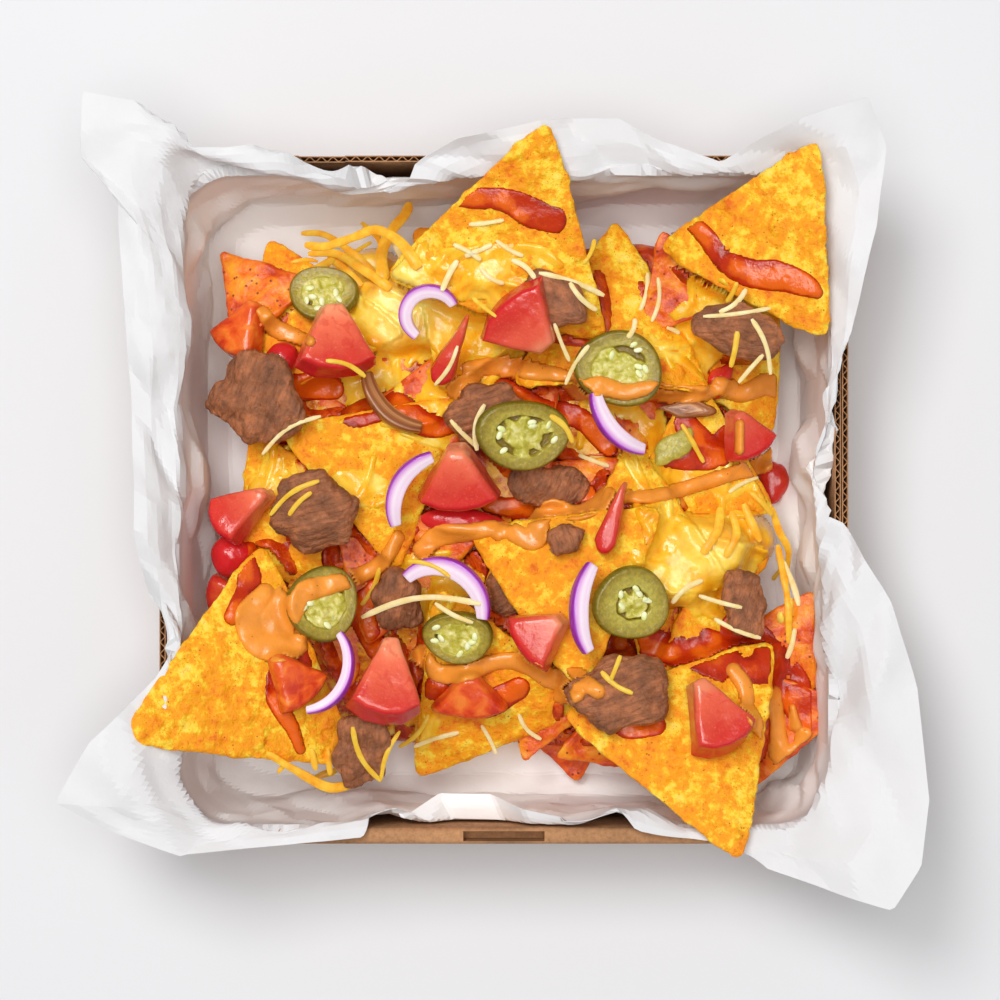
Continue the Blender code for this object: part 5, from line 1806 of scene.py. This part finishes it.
# Pieces that show between the others: finish, slot, x and y, length, width and thickness in
# millimetres, bearing, and how many corners the outline has.
SMALL_PIECES = {
    "seared_steak_behind": ("seared_steak", "steak", 13, 52, 18, 12, 6, -35, 5),
    "tomato_cherry_left": ("tomato", "tomato", -72.5, -15, 12, 11, 10, 20, 0),
    "tomato_slice_under": ("tomato", "tomato", -10, -6, 24, 7, 5, -6, 0),
    "tomato_bit_right": ("tomato", "tomato", 74, 5, 8, 11, 6, 0, 3),
    "tomato_bit_pink": ("tomato", "tomato", 57, 31, 11, 6, 5, 60, 4),
    "tomato_bit_back": ("tomato", "tomato", -59, 38, 9, 8, 7, 30, 0),
    "pepper_bit": ("pickled_pepper", "pepper", 45, 14, 13, 7, 4, 40, 4),
    "browned_onion_straight": ("cooked_onion", "cooked_strip", 48.5, 24, 14, 4.4, 3, -2, 4),
}
# How much skin a small piece shows, cut or whole, and how much sauce has coloured it.
CUT_SKIN = 0.4
WHOLE_SKIN = 0.9
SMALL_SAUCED = 0.25
SMALL_CORNERS = 0.22
# How flat a cornered piece is on top, and the share of its thickness that its middle lies up.
SMALL_FLATNESS = 0.6
SMALL_LIFT = 0.22


def make_small_pieces():
    """The small uneven pieces: spheres pressed flat, their outlines cornered, that lie on the food."""
    ground = GROUNDS[-1]
    for order, (name, row) in enumerate(SMALL_PIECES.items()):
        finish, slot, x, y, long, wide, thick, bearing, corners = row
        deselect()
        bpy.ops.mesh.primitive_uv_sphere_add(segments=64, ring_count=32, radius=0.5)
        piece = named(name)
        points = points_of(piece.data)
        around = np.arctan2(points[:, 1], points[:, 0])
        if corners:
            points[:, :2] *= (1 + SMALL_CORNERS * cornered(around, corners, order * 0.3))[:, None]
            points[:, 2] = np.sign(points[:, 2]) * np.abs(points[:, 2] * 2) ** SMALL_FLATNESS / 2
        toward_tip = np.clip(points[:, 0], 0, 1) * 0.6
        points *= np.array((long, wide, thick)) * MM
        set_points(piece.data, points)
        swell(piece, ((6 * MM, 0.5 * MM), (2.2 * MM, 0.22 * MM)), 60 + order)
        points = points_of(piece.data)
        turn = np.array(Matrix.Rotation(math.radians(-bearing), 2))
        flat = points[:, :2] @ turn + np.array((x, y)) * MM
        rest = np.percentile(ground.at(flat[:, 0], flat[:, 1]), 65)
        set_points(piece.data, np.column_stack((flat, points[:, 2] + rest + thick * SMALL_LIFT * MM)))
        lay_uv(piece.data, points[:, :2])
        # The bundle mark darkens the seams in the steak material: painted shade.
        bundle = clumps(points * (0.4, 1, 1), 2.4 * MM, order)
        skin = CUT_SKIN if corners else WHOLE_SKIN
        store(piece.data, toward_tip=toward_tip, redness=1, skin=skin, bundle=bundle, sauced=SMALL_SAUCED)
        finish_piece(piece, FINISHES[finish], slot, smooth=70)
        TOPPINGS.append(piece)


# ---------------------------------------------------------------- stage


def stage_finish():
    finish = Finish("pale_floor", 0.9, specular=0.1)
    finish.put(finish.shader.inputs["Base Color"], srgb(226, 226, 228))
    return finish.material


def make_stage():
    deselect()
    bpy.ops.mesh.primitive_plane_add(size=FLOOR_SIZE)
    floor = named("floor")
    floor.data.materials.append(stage_finish())

    bpy.ops.object.camera_add(location=(CAMERA_ASIDE, 0, CAMERA_HEIGHT), rotation=(0, 0, 0))
    camera = bpy.context.object
    camera.data.sensor_width = CAMERA_SENSOR
    camera.data.lens = CAMERA_SENSOR / 2 / math.tan(math.radians(CAMERA_ANGLE / 2))
    camera.data.clip_start = CAMERA_NEAR
    bpy.context.scene.camera = camera

    for place, size, power in LAMPS:
        bpy.ops.object.light_add(type="AREA", location=place)
        lamp = bpy.context.object
        lamp.data.shape = "DISK"
        lamp.data.size = size
        lamp.data.energy = power
        lamp.rotation_euler = (-Vector(place)).to_track_quat("-Z", "Y").to_euler()

    world = bpy.data.worlds.new("studio")
    world.use_nodes = True
    background = next(node for node in world.node_tree.nodes if node.type == "BACKGROUND")
    background.inputs["Color"].default_value = (1, 1, 1, 1)
    background.inputs["Strength"].default_value = WORLD_LIGHT
    bpy.context.scene.world = world
    bpy.context.scene.view_settings.view_transform = "Standard"


# ---------------------------------------------------------------- operators


class MakeTray(bpy.types.Operator):
    """Make the open tray of corrugated board"""

    bl_idname = "nachos.tray"
    bl_label = "Tray"
    bl_options = {"REGISTER", "UNDO"}

    def execute(self, context):
        make_tray()
        return {"FINISHED"}


class MakePaper(bpy.types.Operator):
    """Make the creased liner paper"""

    bl_idname = "nachos.paper"
    bl_label = "Liner paper"
    bl_options = {"REGISTER", "UNDO"}

    def execute(self, context):
        make_paper()
        return {"FINISHED"}


class MakeChips(bpy.types.Operator):
    """Make the corn chips on top"""

    bl_idname = "nachos.chips"
    bl_label = "Chips"
    bl_options = {"REGISTER", "UNDO"}

    def execute(self, context):
        make_chips()
        return {"FINISHED"}


class MakeUnderChips(bpy.types.Operator):
    """Make the chips that peep out and the bed of chips"""

    bl_idname = "nachos.under_chips"
    bl_label = "Chips underneath"
    bl_options = {"REGISTER", "UNDO"}

    def execute(self, context):
        make_under_chips()
        return {"FINISHED"}


class MakeSteak(bpy.types.Operator):
    """Make the pieces of seared steak"""

    bl_idname = "nachos.steak"
    bl_label = "Steak"
    bl_options = {"REGISTER", "UNDO"}

    def execute(self, context):
        make_steaks()
        return {"FINISHED"}


class MakeTomatoes(bpy.types.Operator):
    """Make the tomato wedges"""

    bl_idname = "nachos.tomatoes"
    bl_label = "Tomatoes"
    bl_options = {"REGISTER", "UNDO"}

    def execute(self, context):
        make_tomatoes()
        return {"FINISHED"}


class MakePeppers(bpy.types.Operator):
    """Make the slices of pickled pepper with their seeds"""

    bl_idname = "nachos.peppers"
    bl_label = "Pepper slices"
    bl_options = {"REGISTER", "UNDO"}

    def execute(self, context):
        make_peppers()
        return {"FINISHED"}


class MakeOnions(bpy.types.Operator):
    """Make the raw and the browned onion strips"""

    bl_idname = "nachos.onions"
    bl_label = "Onion strips"
    bl_options = {"REGISTER", "UNDO"}

    def execute(self, context):
        make_strips()
        return {"FINISHED"}


class MakeSmallPieces(bpy.types.Operator):
    """Make the small pieces that show between the others"""

    bl_idname = "nachos.small_pieces"
    bl_label = "Small pieces"
    bl_options = {"REGISTER", "UNDO"}

    def execute(self, context):
        make_small_pieces()
        return {"FINISHED"}


class MakeFilling(bpy.types.Operator):
    """Make the sauce and cheese between the pieces"""

    bl_idname = "nachos.filling"
    bl_label = "Filling"
    bl_options = {"REGISTER", "UNDO"}

    def execute(self, context):
        make_filling()
        return {"FINISHED"}


class MakeCheese(bpy.types.Operator):
    """Make the melted cheese"""

    bl_idname = "nachos.cheese"
    bl_label = "Melted cheese"
    bl_options = {"REGISTER", "UNDO"}

    def execute(self, context):
        make_cheese()
        return {"FINISHED"}


class MakeSauces(bpy.types.Operator):
    """Make the red sauce and the cream sauce"""

    bl_idname = "nachos.sauces"
    bl_label = "Sauces"
    bl_options = {"REGISTER", "UNDO"}

    def execute(self, context):
        make_sauces()
        return {"FINISHED"}


class MakeShreds(bpy.types.Operator):
    """Make the unmelted shreds of cheese"""

    bl_idname = "nachos.shreds"
    bl_label = "Cheese shreds"
    bl_options = {"REGISTER", "UNDO"}

    def execute(self, context):
        make_shreds()
        return {"FINISHED"}


class MakeStage(bpy.types.Operator):
    """Make the floor, the lamps and the camera"""

    bl_idname = "nachos.stage"
    bl_label = "Stage"
    bl_options = {"REGISTER", "UNDO"}

    def execute(self, context):
        make_stage()
        return {"FINISHED"}


STEPS = (
    MakeTray, MakePaper, MakeChips, MakeUnderChips, MakeFilling, MakeCheese, MakeSteak, MakeTomatoes,
    MakePeppers, MakeOnions, MakeSmallPieces, MakeSauces, MakeShreds, MakeStage,
)


class NachoPanel(bpy.types.Panel):
    """Steps, sizes and colours of the loaded nachos"""

    bl_idname = "VIEW3D_PT_nachos"
    bl_label = "Loaded nachos"
    bl_space_type = "VIEW_3D"
    bl_region_type = "UI"
    bl_category = "Nachos"

    def draw(self, context):
        for step in STEPS:
            self.layout.operator(step.bl_idname)
        for group in (context.scene.nacho_sizes, context.scene.nacho_colours):
            column = self.layout.column()
            for name in group.__annotations__:
                column.prop(group, name)


CLASSES = (NachoSizes, NachoColours, *STEPS, NachoPanel)


def register():
    for kind in CLASSES:
        bpy.utils.register_class(kind)
    bpy.types.Scene.nacho_sizes = bpy.props.PointerProperty(type=NachoSizes)
    bpy.types.Scene.nacho_colours = bpy.props.PointerProperty(type=NachoColours)


def unregister():
    del bpy.types.Scene.nacho_colours
    del bpy.types.Scene.nacho_sizes
    for kind in reversed(CLASSES):
        bpy.utils.unregister_class(kind)


def main():
    register()
    for step in STEPS:
        group, name = step.bl_idname.split(".")
        getattr(getattr(bpy.ops, group), name)()


if __name__ == "__main__":
    main()
